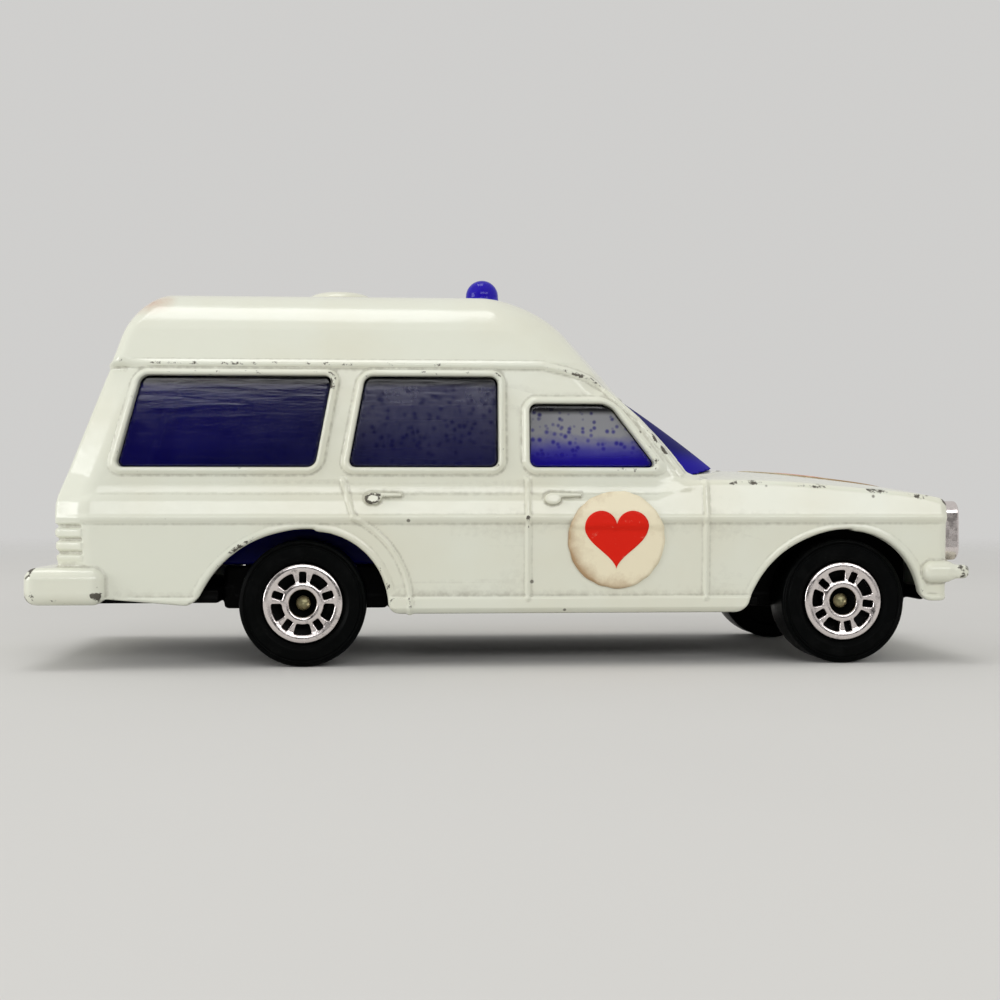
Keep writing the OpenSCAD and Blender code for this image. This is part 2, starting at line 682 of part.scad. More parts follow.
// Sub-parts
module body_shell() {
    boss_r = rivet_d / 2 + boss_wall;
    boss_top_z = gate_foot_z - gate_gap;
    tail_depth = tail_at(roof_z) - tail_x;
    color(paint) difference() {
        union() {
            difference() {
                union() {
                    tub(0);
                    cabin(0);
                    intersection() {
                        cabin(-frame_proud);
                        along_y(span) difference() { side_panes(frame_w); side_panes(0); }
                    }
                    intersection() {
                        tub(-ridge_proud);
                        along_y(span) door_lines();
                    }
                    intersection() {
                        tub(-handle_proud);
                        along_y(span) {
                            handle(door_line_x + front_handle_gap);
                            handle(door_rear_x + rear_handle_gap);
                        }
                    }
                    intersection() {
                        tub(-ridge_proud);
                        both_sides() for (i = [0:2]) let (z = lamp_rib_z + i * lamp_rib_pitch)
                            block([tail_x - cut, gate_half_w + gate_pane_rim, z],
                                  [tail_x + lamp_rib_l, span, z + lamp_rib_h]);
                    }
                    bar(-overall_l / 2, rear_bumper_l, rear_bumper_z, rear_bumper_h);
                    bar(front_bar_x, front_bumper_l - blade_l, front_bumper_z, front_bumper_h);
                    bar(front_bar_x, front_bumper_l, blade_z, blade_h);
                    translate([vent_x, 0, roof_z]) rotate_extrude() polygon(concat(
                        [[0, -wall / 2], [vent_r, -wall / 2]],
                        [for (t = [0:9:90]) [vent_r * cos(t), vent_rise * sin(t)]]));
                }
                tub(wall, true);
                cabin(wall);
            }
            // Bosses for the rivets and the hinge
            intersection() {
                tub(wall / 2, true);
                union() {
                    translate([front_rivet_x, 0, base_top_z + fit_gap]) cylinder(r = boss_r, h = span);
                    translate([rear_rivet_x, 0, base_end_z + fit_gap])
                        cylinder(r = boss_r, h = boss_top_z - base_end_z - fit_gap);
                    block([tail_x, -boss_r, base_end_z + fit_gap], [rear_rivet_x, boss_r, boss_top_z]);
                }
            }
            intersection() {
                cabin(wall / 4);
                both_sides() translate([hinge_x, gate_half_w + hinge_pin_l, hinge_z]) rotate([90, 0, 0])
                    cylinder(r = wall + hinge_pin_d / 4, h = 2 * hinge_pin_l, center = true);
            }
        }
        along_y(span) side_panes(0);
        translate([cowl_x, 0, 0]) along_x(2 * (cowl_x - dome_x)) screen_pane(0);
        both_sides() translate([0, -half_w, 0]) along_y(2 * (half_w - base_waist)) {
            arch_outline(rear_axle_x, rear_arch_shift, rear_arch_tail_r, rear_arch_drop);
            arch_outline(front_axle_x, front_arch_shift, front_arch_tail_r, front_arch_drop);
        }
        tail_slab(tail_depth) gate_outline(0);
        rod_y(hinge_x, hinge_z, hinge_r + gate_gap + fit_gap, 2 * gate_half_w);
        rod_y(hinge_x, hinge_z, hinge_pin_d / 2 + run_gap, 2 * (gate_half_w + hinge_pin_l + fit_gap));
        translate([nose_x, 0, 0]) along_x(4 * wall) {
            lamp_outline(lamp_y, 0);
            lamp_outline(-lamp_y, 0);
            grille_outline(0);
        }
        translate([beacon_x, 0, cabin_mid_z()]) cylinder(d = beacon_d + 2 * fit_gap, h = span);
        for (p = rivet_seats) translate(p)
            cylinder(d = rivet_d + 2 * fit_gap, h = base_t + rivet_l + fit_gap);
    }
}
function cabin_mid_z() = (belt_z + roof_z) / 2;

module chassis_base() {
    color(black) difference() {
        union() {
            intersection() {
                linear_extrude(height = span) tub_plan(wall + fit_gap);
                along_x(span) tub_section(wall + fit_gap, true);
                along_y(span) {
                    patch([rear_axle_x - well_half_l, base_z], [front_axle_x + well_half_l, base_top_z]);
                    patch([-span, base_z + base_rise], [rear_axle_x - well_half_l + well_t, base_end_z]);
                    patch([front_axle_x + well_half_l - well_t, base_z + base_rise], [span, base_end_z]);
                }
            }
            for (x = [front_axle_x, rear_axle_x]) both_sides()
                block([x - bearing_half_l, base_waist - bearing_w, base_z],
                      [x + bearing_half_l, base_waist, base_z + bearing_h]);
            both_sides() {
                block([rear_axle_x - well_half_l, base_waist - well_t, base_z],
                      [rear_axle_x + well_half_l, base_waist, rear_well_z]);
                block([front_axle_x - well_half_l, base_waist - well_t, base_z],
                      [front_axle_x + well_half_l, base_waist, front_well_z]);
            }
        }
        for (x = [front_axle_x, rear_axle_x]) {
            both_sides() block([x - well_half_l, base_waist, 0], [x + well_half_l, span, span]);
            rod_y(x, axle_z, axle_d / 2 + fit_gap / 2, span);
            block([x - axle_d, bearing_w - base_waist, 0], [x + axle_d, base_waist - bearing_w, span]);
        }
        for (p = rivet_seats) translate(p) {
            cylinder(d = rivet_d + 2 * fit_gap, h = span);
            cylinder(d = rivet_head_d + 2 * fit_gap, h = 2 * (rivet_head_t + fit_gap), center = true);
        }
    }
}

module window_unit() {
    color(blue) {
        difference() {
            union() {
                cabin(glass_inset);
                intersection() {
                    cabin(pane_depth);
                    along_y(span) side_panes(-fit_gap);
                }
                intersection() {
                    cabin(screen_depth);
                    translate([cowl_x, 0, 0]) along_x(2 * (cowl_x - dome_x)) screen_pane(-fit_gap);
                }
            }
            cabin(glass_inset + pane_t);
            block([-span, -span, -span], [span, span, belt_z - pane_t]);
            translate([glass_rear_gap, 0, 0]) along_y(span)
                polygon([[tail_x - span, 0], [tail_x, 0], [tail_x, knee_z], [tail_at(roof_z), roof_z],
                         [tail_at(roof_z), span], [tail_x - span, span]]);
        }
        translate([beacon_x, 0, roof_z - wall - pane_t])
            cylinder(d = beacon_d, h = beacon_top_z - beacon_d / 2 - roof_z + wall + pane_t);
        translate([beacon_x, 0, beacon_top_z - beacon_d / 2]) sphere(d = beacon_d);
    }
}

module interior_tray() {
    rear_x = tail_x + tray_rear_gap;
    z = rear_well_z + fit_gap;
    color(blue) difference() {
        block([rear_x, -tray_half_w, z], [tray_front_x, tray_half_w, z + tray_wall_h]);
        block([rear_x - cut, tray_t - tray_half_w, z + tray_t],
              [tray_front_x - tray_t, tray_half_w - tray_t, span]);
    }
}

module tailgate() {
    w = gate_half_w - gate_gap;
    tail_depth = tail_at(roof_z) - tail_x;
    color(paint) {
        difference() {
            union() {
                difference() {
                    intersection() {
                        union() { tub(0); cabin(0); }
                        tail_slab(tail_depth) gate_outline(gate_gap);
                    }
                    tub(wall, true);
                    cabin(wall);
                }
                rod_y(hinge_x, hinge_z, hinge_r, 2 * w);
                rod_y(tail_x, grip_z, grip_d / 2, 2 * grip_half_w);
            }
            tail_slab(tail_depth) gate_pane_outline(0);
        }
        rod_y(hinge_x, hinge_z, hinge_pin_d / 2, 2 * (gate_half_w + hinge_pin_l));
    }
}

module tailgate_window() {
    tail_depth = tail_at(roof_z) - tail_x;
    color(blue) difference() {
        union() {
            intersection() {
                cabin(wall + fit_gap);
                tail_slab(tail_depth) gate_pane_outline(gate_pane_rim);
            }
            intersection() {
                cabin(pane_depth);
                tail_slab(tail_depth) gate_pane_outline(-fit_gap);
            }
        }
        cabin(wall + fit_gap + pane_t);
    }
}

module grille() {
    gap_h = grille_h / (2 * grille_bars + 1);
    x = nose_x + grille_proud;
    color(plated) difference() {
        union() {
            block([grille_back_x - wall, -grille_half_w - wall, lamp_z - wall / 2],
                  [grille_back_x, grille_half_w + wall, lamp_z + grille_h - fit_gap]);
            block([grille_back_x - wall / 2, -grille_half_w + fit_gap, lamp_z + fit_gap],
                  [x, grille_half_w - fit_gap, lamp_z + grille_h - fit_gap]);
        }
        for (i = [0:grille_bars - 1])
            block([x - grille_groove, -grille_half_w + wall / 2, lamp_z + gap_h * (2 * i + 1)],
                  [x + cut, grille_half_w - wall / 2, lamp_z + gap_h * (2 * i + 2)]);
    }
}

module headlamps() {
    back_x = nose_x - corner_r;
    l = nose_x + lamp_proud - back_x;
    color(plated) for (s = [-1, 1])
        translate([back_x + l / 2, 0, 0]) along_x(l) lamp_outline(s * lamp_y, -fit_gap);
}

module axle(x) {
    half = axle_l / 2;
    color(brass) translate([x, 0, axle_z]) rotate([90, 0, 0]) {
        cylinder(d = axle_d, h = axle_l, center = true);
        for (s = [0, 1]) mirror([0, 0, s]) translate([0, 0, half - run_gap]) rotate_extrude()
            intersection() {
                translate([0, -axle_head_d / 4]) circle(d = 5 * axle_head_d / 4, $fn = 48);
                square([axle_head_d / 2, axle_head_d]);
            }
    }
}
module front_axle() { axle(front_axle_x); }
module rear_axle() { axle(rear_axle_x); }

// A wheel with its outer face at the top, its axis upright
module wheel_form() {
    r = wheel_d / 2;
    bore = axle_d / 2 + run_gap;
    back = track_w / 2 - base_waist - 2 * fit_gap;
    seat = dish_depth + 2 * run_gap;
    rotate_extrude($fn = 96) polygon([[bore, -back], [hub_hole_r + wall / 2, -back],
        [hub_hole_r + wall / 2, -wheel_w + wall], [r - wall, -wheel_w + wall], [r - wall, -wheel_w],
        [r - shoulder_r, -wheel_w], [r, -wheel_w + shoulder_r], [r, -shoulder_r], [r - shoulder_r, 0],
        [dish_r + wall / 3, 0], [dish_r, -wall / 8], [dish_r, -dish_depth], [bore, -seat]]);
}
module hub_form(turn) {
    rim = dish_r - fit_gap;
    outer = rim - hub_rim_w;
    inner = hub_hole_r + hub_ring_w;
    step = 360 / hub_pairs;
    translate([0, 0, fit_gap - dish_depth]) linear_extrude(height = dish_depth) difference() {
        circle(r = rim, $fn = 96);
        circle(r = hub_hole_r, $fn = 48);
        for (i = [0:hub_pairs - 1]) {
            rotate(turn + i * step) patch([inner, -hub_slot_w / 2], [outer, hub_slot_w / 2]);
            rotate(turn + (i + 1 / 2) * step) polygon(concat(
                arc_points([0, 0], inner, -hub_window_half, hub_window_half, 6),
                arc_points([0, 0], outer, hub_window_half, -hub_window_half, 6)));
        }
    }
}
module on_right(x) { translate([x, -track_w / 2, axle_z]) rotate([90, 0, 0]) children(); }
module front_right_wheel() { color(black) on_right(front_axle_x) wheel_form(); }
module front_left_wheel() { color(black) mirror([0, 1, 0]) on_right(front_axle_x) wheel_form(); }
module rear_right_wheel() { color(black) on_right(rear_axle_x) wheel_form(); }
module rear_left_wheel() { color(black) mirror([0, 1, 0]) on_right(rear_axle_x) wheel_form(); }
module front_right_hub() { color(plated) on_right(front_axle_x) hub_form(front_hub_turn); }
module front_left_hub() { color(plated) mirror([0, 1, 0]) on_right(front_axle_x) hub_form(front_hub_turn); }
module rear_right_hub() { color(plated) on_right(rear_axle_x) hub_form(rear_hub_turn); }
module rear_left_hub() { color(plated) mirror([0, 1, 0]) on_right(rear_axle_x) hub_form(rear_hub_turn); }

module door_label_right() {
    color(paper) difference() {
        intersection() {
            tub(-label_t);
            translate([label_x, 0, label_z]) rotate([90, 0, 0]) cylinder(r = label_r, h = span, $fn = 72);
        }
        tub(0);
    }
}
module door_label_left() { mirror([0, 1, 0]) door_label_right(); }
module bonnet_label() {
    color(paper) difference() {
        intersection() {
            tub(-label_t);
            translate([bonnet_label_x, 0, crease_z]) cylinder(r = bonnet_label_r, h = span, $fn = 72);
        }
        tub(0);
    }
}

module base_rivets() {
    color(plated) for (p = rivet_seats) translate(p + [0, 0, fit_gap / 2]) {
        cylinder(d = rivet_d, h = base_t + rivet_l - fit_gap);
        cylinder(d = rivet_head_d, h = rivet_head_t);
    }
}

body_shell();
chassis_base();
window_unit();
interior_tray();
tailgate();
tailgate_window();
grille();
headlamps();
front_axle();
rear_axle();
front_right_wheel();
front_left_wheel();
rear_right_wheel();
rear_left_wheel();
front_right_hub();
front_left_hub();
rear_right_hub();
rear_left_hub();
door_label_right();
door_label_left();
bonnet_label();
base_rivets();
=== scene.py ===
import json
import math
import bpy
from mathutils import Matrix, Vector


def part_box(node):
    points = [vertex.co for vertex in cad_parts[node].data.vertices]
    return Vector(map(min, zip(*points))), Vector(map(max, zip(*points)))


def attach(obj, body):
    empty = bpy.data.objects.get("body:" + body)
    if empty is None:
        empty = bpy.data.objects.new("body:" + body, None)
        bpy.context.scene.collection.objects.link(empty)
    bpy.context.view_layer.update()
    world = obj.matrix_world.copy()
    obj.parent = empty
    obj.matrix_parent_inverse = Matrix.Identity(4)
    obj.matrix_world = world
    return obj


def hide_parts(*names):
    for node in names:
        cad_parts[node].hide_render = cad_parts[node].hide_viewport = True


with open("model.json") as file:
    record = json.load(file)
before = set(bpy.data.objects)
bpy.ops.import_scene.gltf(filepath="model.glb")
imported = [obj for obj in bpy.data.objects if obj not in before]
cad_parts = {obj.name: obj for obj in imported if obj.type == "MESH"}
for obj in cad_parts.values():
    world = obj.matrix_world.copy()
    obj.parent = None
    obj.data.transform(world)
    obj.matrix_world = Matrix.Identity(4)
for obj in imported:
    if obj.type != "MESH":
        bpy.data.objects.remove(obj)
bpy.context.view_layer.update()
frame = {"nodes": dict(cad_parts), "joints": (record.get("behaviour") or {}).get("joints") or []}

from types import SimpleNamespace

import bpy
import numpy as np
from mathutils import Vector

bl_info = {
    "name": "Toy ambulance",
    "version": (1, 0, 0),
    "blender": (4, 5, 0),
    "location": "View3D > Sidebar > Ambulance",
    "description": "Builds the painted casting, glazing, wheels and labels of a die-cast toy ambulance",
    "category": "Object",
}

MM = 0.001
SIDES = (("right", -1), ("left", 1))
AXLES = ("front", "rear")
SEED = 7
# Half the width over which the windscreen sweeps back, in millimetres
SWEEP_HALF_W = 12.9
# Fall of the roof across the car for each square millimetre from its middle
ROOF_CROWN = 0.0062
# Places of the posts behind the front doors and ahead of the patient bay's windows, in millimetres
DOOR_POST_X = 0.8
BAY_POST_X = -14


def linear(code):
    """Linear colour of an sRGB hex value."""
    parts = [int(code[i:i + 2], 16) / 255 for i in (0, 2, 4)]
    return tuple(p / 12.92 if p <= 0.04045 else ((p + 0.055) / 1.055) ** 2.4 for p in parts)


def length(label, default, note):
    """A length property whose default is given in millimetres."""
    return bpy.props.FloatProperty(
        name=label, description=note, default=default * MM, unit="LENGTH", precision=5)


def colour(label, code, note):
    """A colour property whose default is an sRGB hex value."""
    return bpy.props.FloatVectorProperty(
        name=label, description=note, default=linear(code), subtype="COLOR", min=0, max=1)


def node_box(name):
    """Lowest and highest corner of a CAD node in millimetres."""
    low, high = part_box(name)
    return np.array(low) / MM, np.array(high) / MM


SHELL_LOW, SHELL_HIGH = node_box("body_shell")
GRILLE_LOW, GRILLE_HIGH = node_box("grille")
LAMP_LOW, LAMP_HIGH = node_box("headlamps")
TRAY_LOW, TRAY_HIGH = node_box("interior_tray")
BASE_LOW, BASE_HIGH = node_box("chassis_base")
GLASS_LOW, GLASS_HIGH = node_box("window_unit")
GATE_LOW, GATE_HIGH = node_box("tailgate")
GATE_PANE_LOW, GATE_PANE_HIGH = node_box("tailgate_window")


class AmbulanceSizes(bpy.types.PropertyGroup):
    """Sizes of the toy that a user may change, most of them as on the CAD part."""

    cell: length("Mesh cell", 0.15, "Spacing of the grid that meshes the casting")
    wall: length("Wall", 1.2, "Thickness of the casting")
    fit_gap: length("Fit gap", 0.08, "Gap between parts that are fixed to each other")
    paint_edge: length("Paint edge", 0.16, "Radius that thick paint leaves on a cut edge")
    sill_z: length("Sill", 4.15, "Height of the sill's lower edge")
    sill_bar_z: length("Sill moulding", 5.4, "Height of the sill moulding's upper edge")
    skirt_z: length("Skirt", 4.85, "Height of the lower edge behind the rear wheels")
    valance_z: length("Valance", 5.0, "Height of the front panel's lower edge")
    crease_z: length("Crease", 11.8, "Height of the crease along the side")
    belt_z: length("Belt", 14.7, "Height of the belt line below the windows")
    rail_z: length("Drip rail", 23.9, "Height of the drip rail")
    roof_z: length("Roof", 30.3, "Height of the roof")
    half_w: length("Half width", 14.25, "Half the body's width over its crease")
    cabin_foot_w: length("Cabin foot", 13.55, "Half the cabin's width at the belt")
    cabin_rail_w: length("Cabin head", 12.65, "Half the cabin's width at the drip rail")
    roof_side_w: length("Roof side", 11.55, "Half the roof's width at its shoulder")
    roof_side_z: length("Roof shoulder", 26.8, "Height of the roof's shoulder")
    roof_edge_r: length("Roof edge", 3.0, "Radius of the roof's long edges")
    corner_r: length("Corner", 2.3, "How far the tail's corners reach along the sides")
    corner_back: length("Corner depth", 1.3, "How far the tail's corners reach along the tail")
    nose_x: length("Nose", 35.8, "Place of the nose")
    nose_corner_r: length("Nose corner", 0.8, "Radius of the nose's corners in plan")
    bonnet_x: length("Bonnet top", 18.0, "Place of the bonnet's highest point")
    bonnet_z: length("Bonnet height", 15.72, "Height of the bonnet's highest point")
    bonnet_r: length("Bonnet bow", 80.0, "Radius of the bonnet along the car")
    bonnet_crown_r: length("Bonnet crown", 95.0, "Radius of the bonnet across the car")
    fall_x: length("Roof fall", 6.03, "Place of a point on the sloping front of the roof")
    fall_z: length("Roof fall height", 26.9, "Height of that point")
    fall_r: length("Roof fall edge", 3.1, "Softness of the edge where the roof starts to fall")
    brow_x: length("Brow", 11.0, "Place of the windscreen's upper edge")
    brow_z: length("Brow height", 21.5, "Height of the windscreen's upper edge")
    bend_x: length("Screen bend", 16.3, "Place of the windscreen's bend")
    bend_z: length("Screen bend height", 18.35, "Height of the windscreen's bend")
    cowl_x: length("Cowl", 19.4, "Place of the windscreen's foot")
    bulge: length("Screen bulge", 5.55, "How far the windscreen's middle lies ahead of its pillars")
    frame_w: length("Window frame", 0.47, "Width of the raised window frames")
    frame_proud: length("Frame height", 0.33, "How far the window frames stand proud")
    rail_proud: length("Rail height", 0.24, "How far the drip rail stands proud")
    ridge_w: length("Door line", 0.42, "Width of the raised door lines")
    ridge_proud: length("Door line height", 0.14, "How far the door lines stand proud")
    pane_foot_z: length("Window foot", 15.75, "Height of the windows' lower edges")
    pane_head_z: length("Window head", 23.0, "Height of the rear windows' upper edges")
    door_pane_head_z: length("Door window head", 20.85, "Height of the front door window's upper edge")
    glass_rear_gap: length("Glazing rear gap", 2.45, "Distance of the window moulding from the tail")
    pane_r: length("Window corner", 0.6, "Radius of the window corners")
    pane_t: length("Glazing", 0.8, "Thickness of the window moulding")
    pane_depth: length("Pane depth", 0.6, "How deep the side panes lie below the body surface")
    screen_depth: length("Screen depth", 0.12, "How deep the windscreen lies below the body surface")
    screen_half_w: length("Screen half width", 11.9, "Half the windscreen's width at its foot")
    screen_taper: length("Screen taper", 0.9, "How much the windscreen narrows on each side")
    screen_foot_z: length("Screen foot", 16.35, "Height of the windscreen's foot")
    beacon_x: length("Beacon", -1.15, "Place of the beacon")
    beacon_r: length("Beacon radius", 1.43, "Radius of the beacon")
    vent_x: length("Vent", -13.6, "Place of the roof vent")
    vent_r: length("Vent radius", 2.9, "Radius of the roof vent")
    door_line_x: length("Door line", 1.7, "Place of the line between the doors")
    door_front_x: length("Front door edge", 16.0, "Place of the front door's leading edge")
    door_rear_x: length("Rear door corner", -12.9, "Place of the rear door's upper corner")
    door_arch_r: length("Rear door arch", 7.7, "Radius of the rear door's edge round the wheel")
    handle_z: length("Handles", 13.45, "Height of the door handles")
    handle_l: length("Handle length", 2.95, "Length of a door handle")
    handle_h: length("Handle height", 0.95, "Height of a door handle's thick end")
    handle_proud: length("Handle reach", 0.45, "How far the handles stand proud")
    arch_r: length("Arch", 5.95, "Radius of the wheel arch")
    rear_arch_shift: length("Rear arch shift", 0.75, "How far the rear arch lies ahead of its axle")
    front_arch_shift: length("Front arch shift", 0.45, "How far the front arch lies ahead of its axle")
    arch_shift_z: length("Arch drop", 0.25, "How far the arch lies below the axle")
    rear_arch_tail_r: length("Rear arch tail", 8.8, "Radius of the rear arch's sloping half")
    rear_arch_tail_z: length("Rear arch tail drop", 3.0, "How far that half's centre lies below the axle")
    front_arch_tail_r: length("Front arch tail", 8.05, "Radius of the front arch's sloping half")
    front_arch_tail_z: length("Front arch tail drop", 2.4, "How far that half's centre lies below the axle")
    gate_half_w: length("Tailgate opening", 9.8, "Half the width of the tailgate opening")
    gate_foot_z: length("Tailgate foot", 8.5, "Height of the tailgate opening's lower edge")
    gate_gap: length("Tailgate gap", 0.18, "Gap around the tailgate")
    gate_frame_w: length("Tailgate frame", 2.3, "Width of the tailgate beside its window")
    gate_pane_foot_z: length("Tailgate window foot", 15.75, "Lower edge of the tailgate window")
    gate_pane_head_z: length("Tailgate window head", 20.8, "Upper edge of the tailgate window")
    hinge_r: length("Hinge bead", 0.65, "Radius of the tailgate's hinge bead")
    bumper_r: length("Bumper edge", 1.0, "Radius of the bumpers' long edges")
    bumper_corner_r: length("Bumper corner", 0.9, "Radius of the bumpers' corners in plan")
    blade_l: length("Bumper blade", 1.2, "How far the front bumper's blade reaches ahead of its ends")
    blade_h: length("Blade height", 1.1, "Height of the front bumper's blade")
    rear_bumper_l: length("Rear bumper", 6.2, "Length of the rear bumper along the side")
    rear_bumper_z: length("Rear bumper foot", 4.95, "Height of the rear bumper's lower edge")
    rear_bumper_h: length("Rear bumper height", 2.95, "Height of the rear bumper")
    front_bumper_l: length("Front bumper", 3.8, "Length of the front bumper along the side")
    front_bumper_z: length("Front bumper foot", 6.5, "Height of the front bumper's lower edge")
    front_bumper_h: length("Front bumper height", 1.75, "Height of the front bumper")
    lamp_w: length("Headlamp", 3.8, "Width of a headlamp")
    lamp_r: length("Headlamp corner", 1.1, "Radius of the headlamp's corners")
    lamp_more: length("Headlamp margin", 0.4, "How far the lamps' rims reach past the CAD lamps")
    dish_r: length("Wheel dish", 3.22, "Radius of the wheel's dish")
    dish_depth: length("Dish depth", 0.9, "Depth of the wheel's dish")
    hub_hole_r: length("Hub hole", 1.09, "Radius of the hub trim's centre hole")
    hub_inner_r: length("Hub inner ring", 1.66, "Outer radius of the hub trim's inner ring")
    hub_outer_r: length("Hub outer ring", 2.48, "Inner radius of the hub trim's outer ring")
    hub_slot_w: length("Hub slot", 0.55, "Width of the hub trim's narrow slots")
    label_t: length("Label", 0.1, "Thickness of the labels")


class AmbulanceColours(bpy.types.PropertyGroup):
    """Colours of the toy's finishes."""

    enamel: colour("Enamel", "E6E8D9", "Thick white paint of the casting")
    aged_enamel: colour("Aged enamel", "E2E1CE", "Yellowed patches of the paint")
    # A grimy tone that also stands for painted shade in inner corners and creases
    grime_and_shade: colour("Grime", "8A8474", "Dirt that stays in corners and round edges")
    bare_zinc: colour("Bare zinc", "625E55", "Dull casting metal under chipped paint")
    red_dirt: colour("Red dirt", "C0805F", "Rubbed-off colour at the roof's rear corners")
    glazing: colour("Glazing", "0E0E62", "Deep blue of the window moulding")
    # Painted light: this brighter blue is painted on and stands for light that shines through the moulding
    lit_glazing: colour("Lit glazing", "3420DC", "Brighter blue where light comes through the moulding")
    film: colour("Film", "94959A", "Dust and dried droplets on the windows")
    tyre: colour("Tyre", "040505", "Black of the plastic wheels")
    base: colour("Base", "040404", "Black of the base plate")
    foil: colour("Foil", "E6DEDC", "Bright plating of hubs, grille and lamps")
    wire: colour("Axle wire", "8F8A6A", "Brass tone of the axle ends")
    rivet: colour("Rivet", "9A9A96", "Grey metal of the rivets")
    paper: colour("Paper", "F2E8CA", "Cream paper of the labels")
    stain: colour("Stain", "9A6E38", "Brown stains on the paper")
    ink: colour("Ink", "E01A00", "Red ink printed on the labels")
    floor: colour("Floor", "D6D5D2", "Pale paper of the floor")


def sizes():
    """The sizes in millimetres."""
    group = bpy.context.scene.ambulance_sizes
    return SimpleNamespace(**{key: getattr(group, key) / MM for key in AmbulanceSizes.__annotations__})


def shades():
    """The colours as four numbers each."""
    group = bpy.context.scene.ambulance_colours
    return SimpleNamespace(**{key: (*getattr(group, key), 1.0) for key in AmbulanceColours.__annotations__})


# Signed distances, in millimetres and negative inside


def round_max(a, b, r):
    """What two forms share, with its edge rounded to radius r."""
    return np.minimum(np.maximum(a, b), -r) + np.hypot(np.maximum(a + r, 0), np.maximum(b + r, 0))


def round_min(a, b, r):
    """Two forms joined, with the inner corner filled to radius r."""
    return np.maximum(np.minimum(a, b), r) - np.hypot(np.maximum(r - a, 0), np.maximum(r - b, 0))


def ramp(v, start, end):
    """Rises smoothly from 0 at start to 1 at end."""
    t = np.clip((v - start) / (end - start), 0, 1)
    return t * t * (3 - 2 * t)


def course(v, places, values):
    """Straight stretches between given values."""
    return np.interp(v, places, values).astype(np.float32)


def above(x, z, p, q):
    """Height over the line from p to q, measured square to it."""
    run, rise = q[0] - p[0], q[1] - p[1]
    return ((z - p[1]) * run - (x - p[0]) * rise) / math.hypot(run, rise)


def to_segment(x, z, p, q):
    """Distance to the straight piece between p and q."""
    run, rise = q[0] - p[0], q[1] - p[1]
    t = np.clip(((x - p[0]) * run + (z - p[1]) * rise) / (run * run + rise * rise), 0, 1)
    return np.hypot(x - p[0] - t * run, z - p[1] - t * rise)


def to_line(x, z, points):
    """Distance to a line through several points."""
    near = to_segment(x, z, points[0], points[1])
    for p, q in zip(points[1:], points[2:]):
        near = np.minimum(near, to_segment(x, z, p, q))
    return near


def convex(x, z, corners, r):
    """A convex outline, its corners in clockwise order and rounded to r."""
    form = above(x, z, corners[0], corners[1])
    for p, q in zip(corners[1:], corners[2:] + corners[:1]):
        form = round_max(form, above(x, z, p, q), r)
    return form


def block(x, y, z, low, high, r):
    """A box with rounded edges."""
    form = np.maximum(low[0] - x, x - high[0])
    form = round_max(form, np.maximum(low[1] - y, y - high[1]), r)
    return round_max(form, np.maximum(low[2] - z, z - high[2]), r)


def bead(distance, half_w):
    """A soft raised line, 1 in its middle and 0 from half_w on."""
    return np.clip(1 - (distance / half_w) ** 2, 0, 1) ** 2


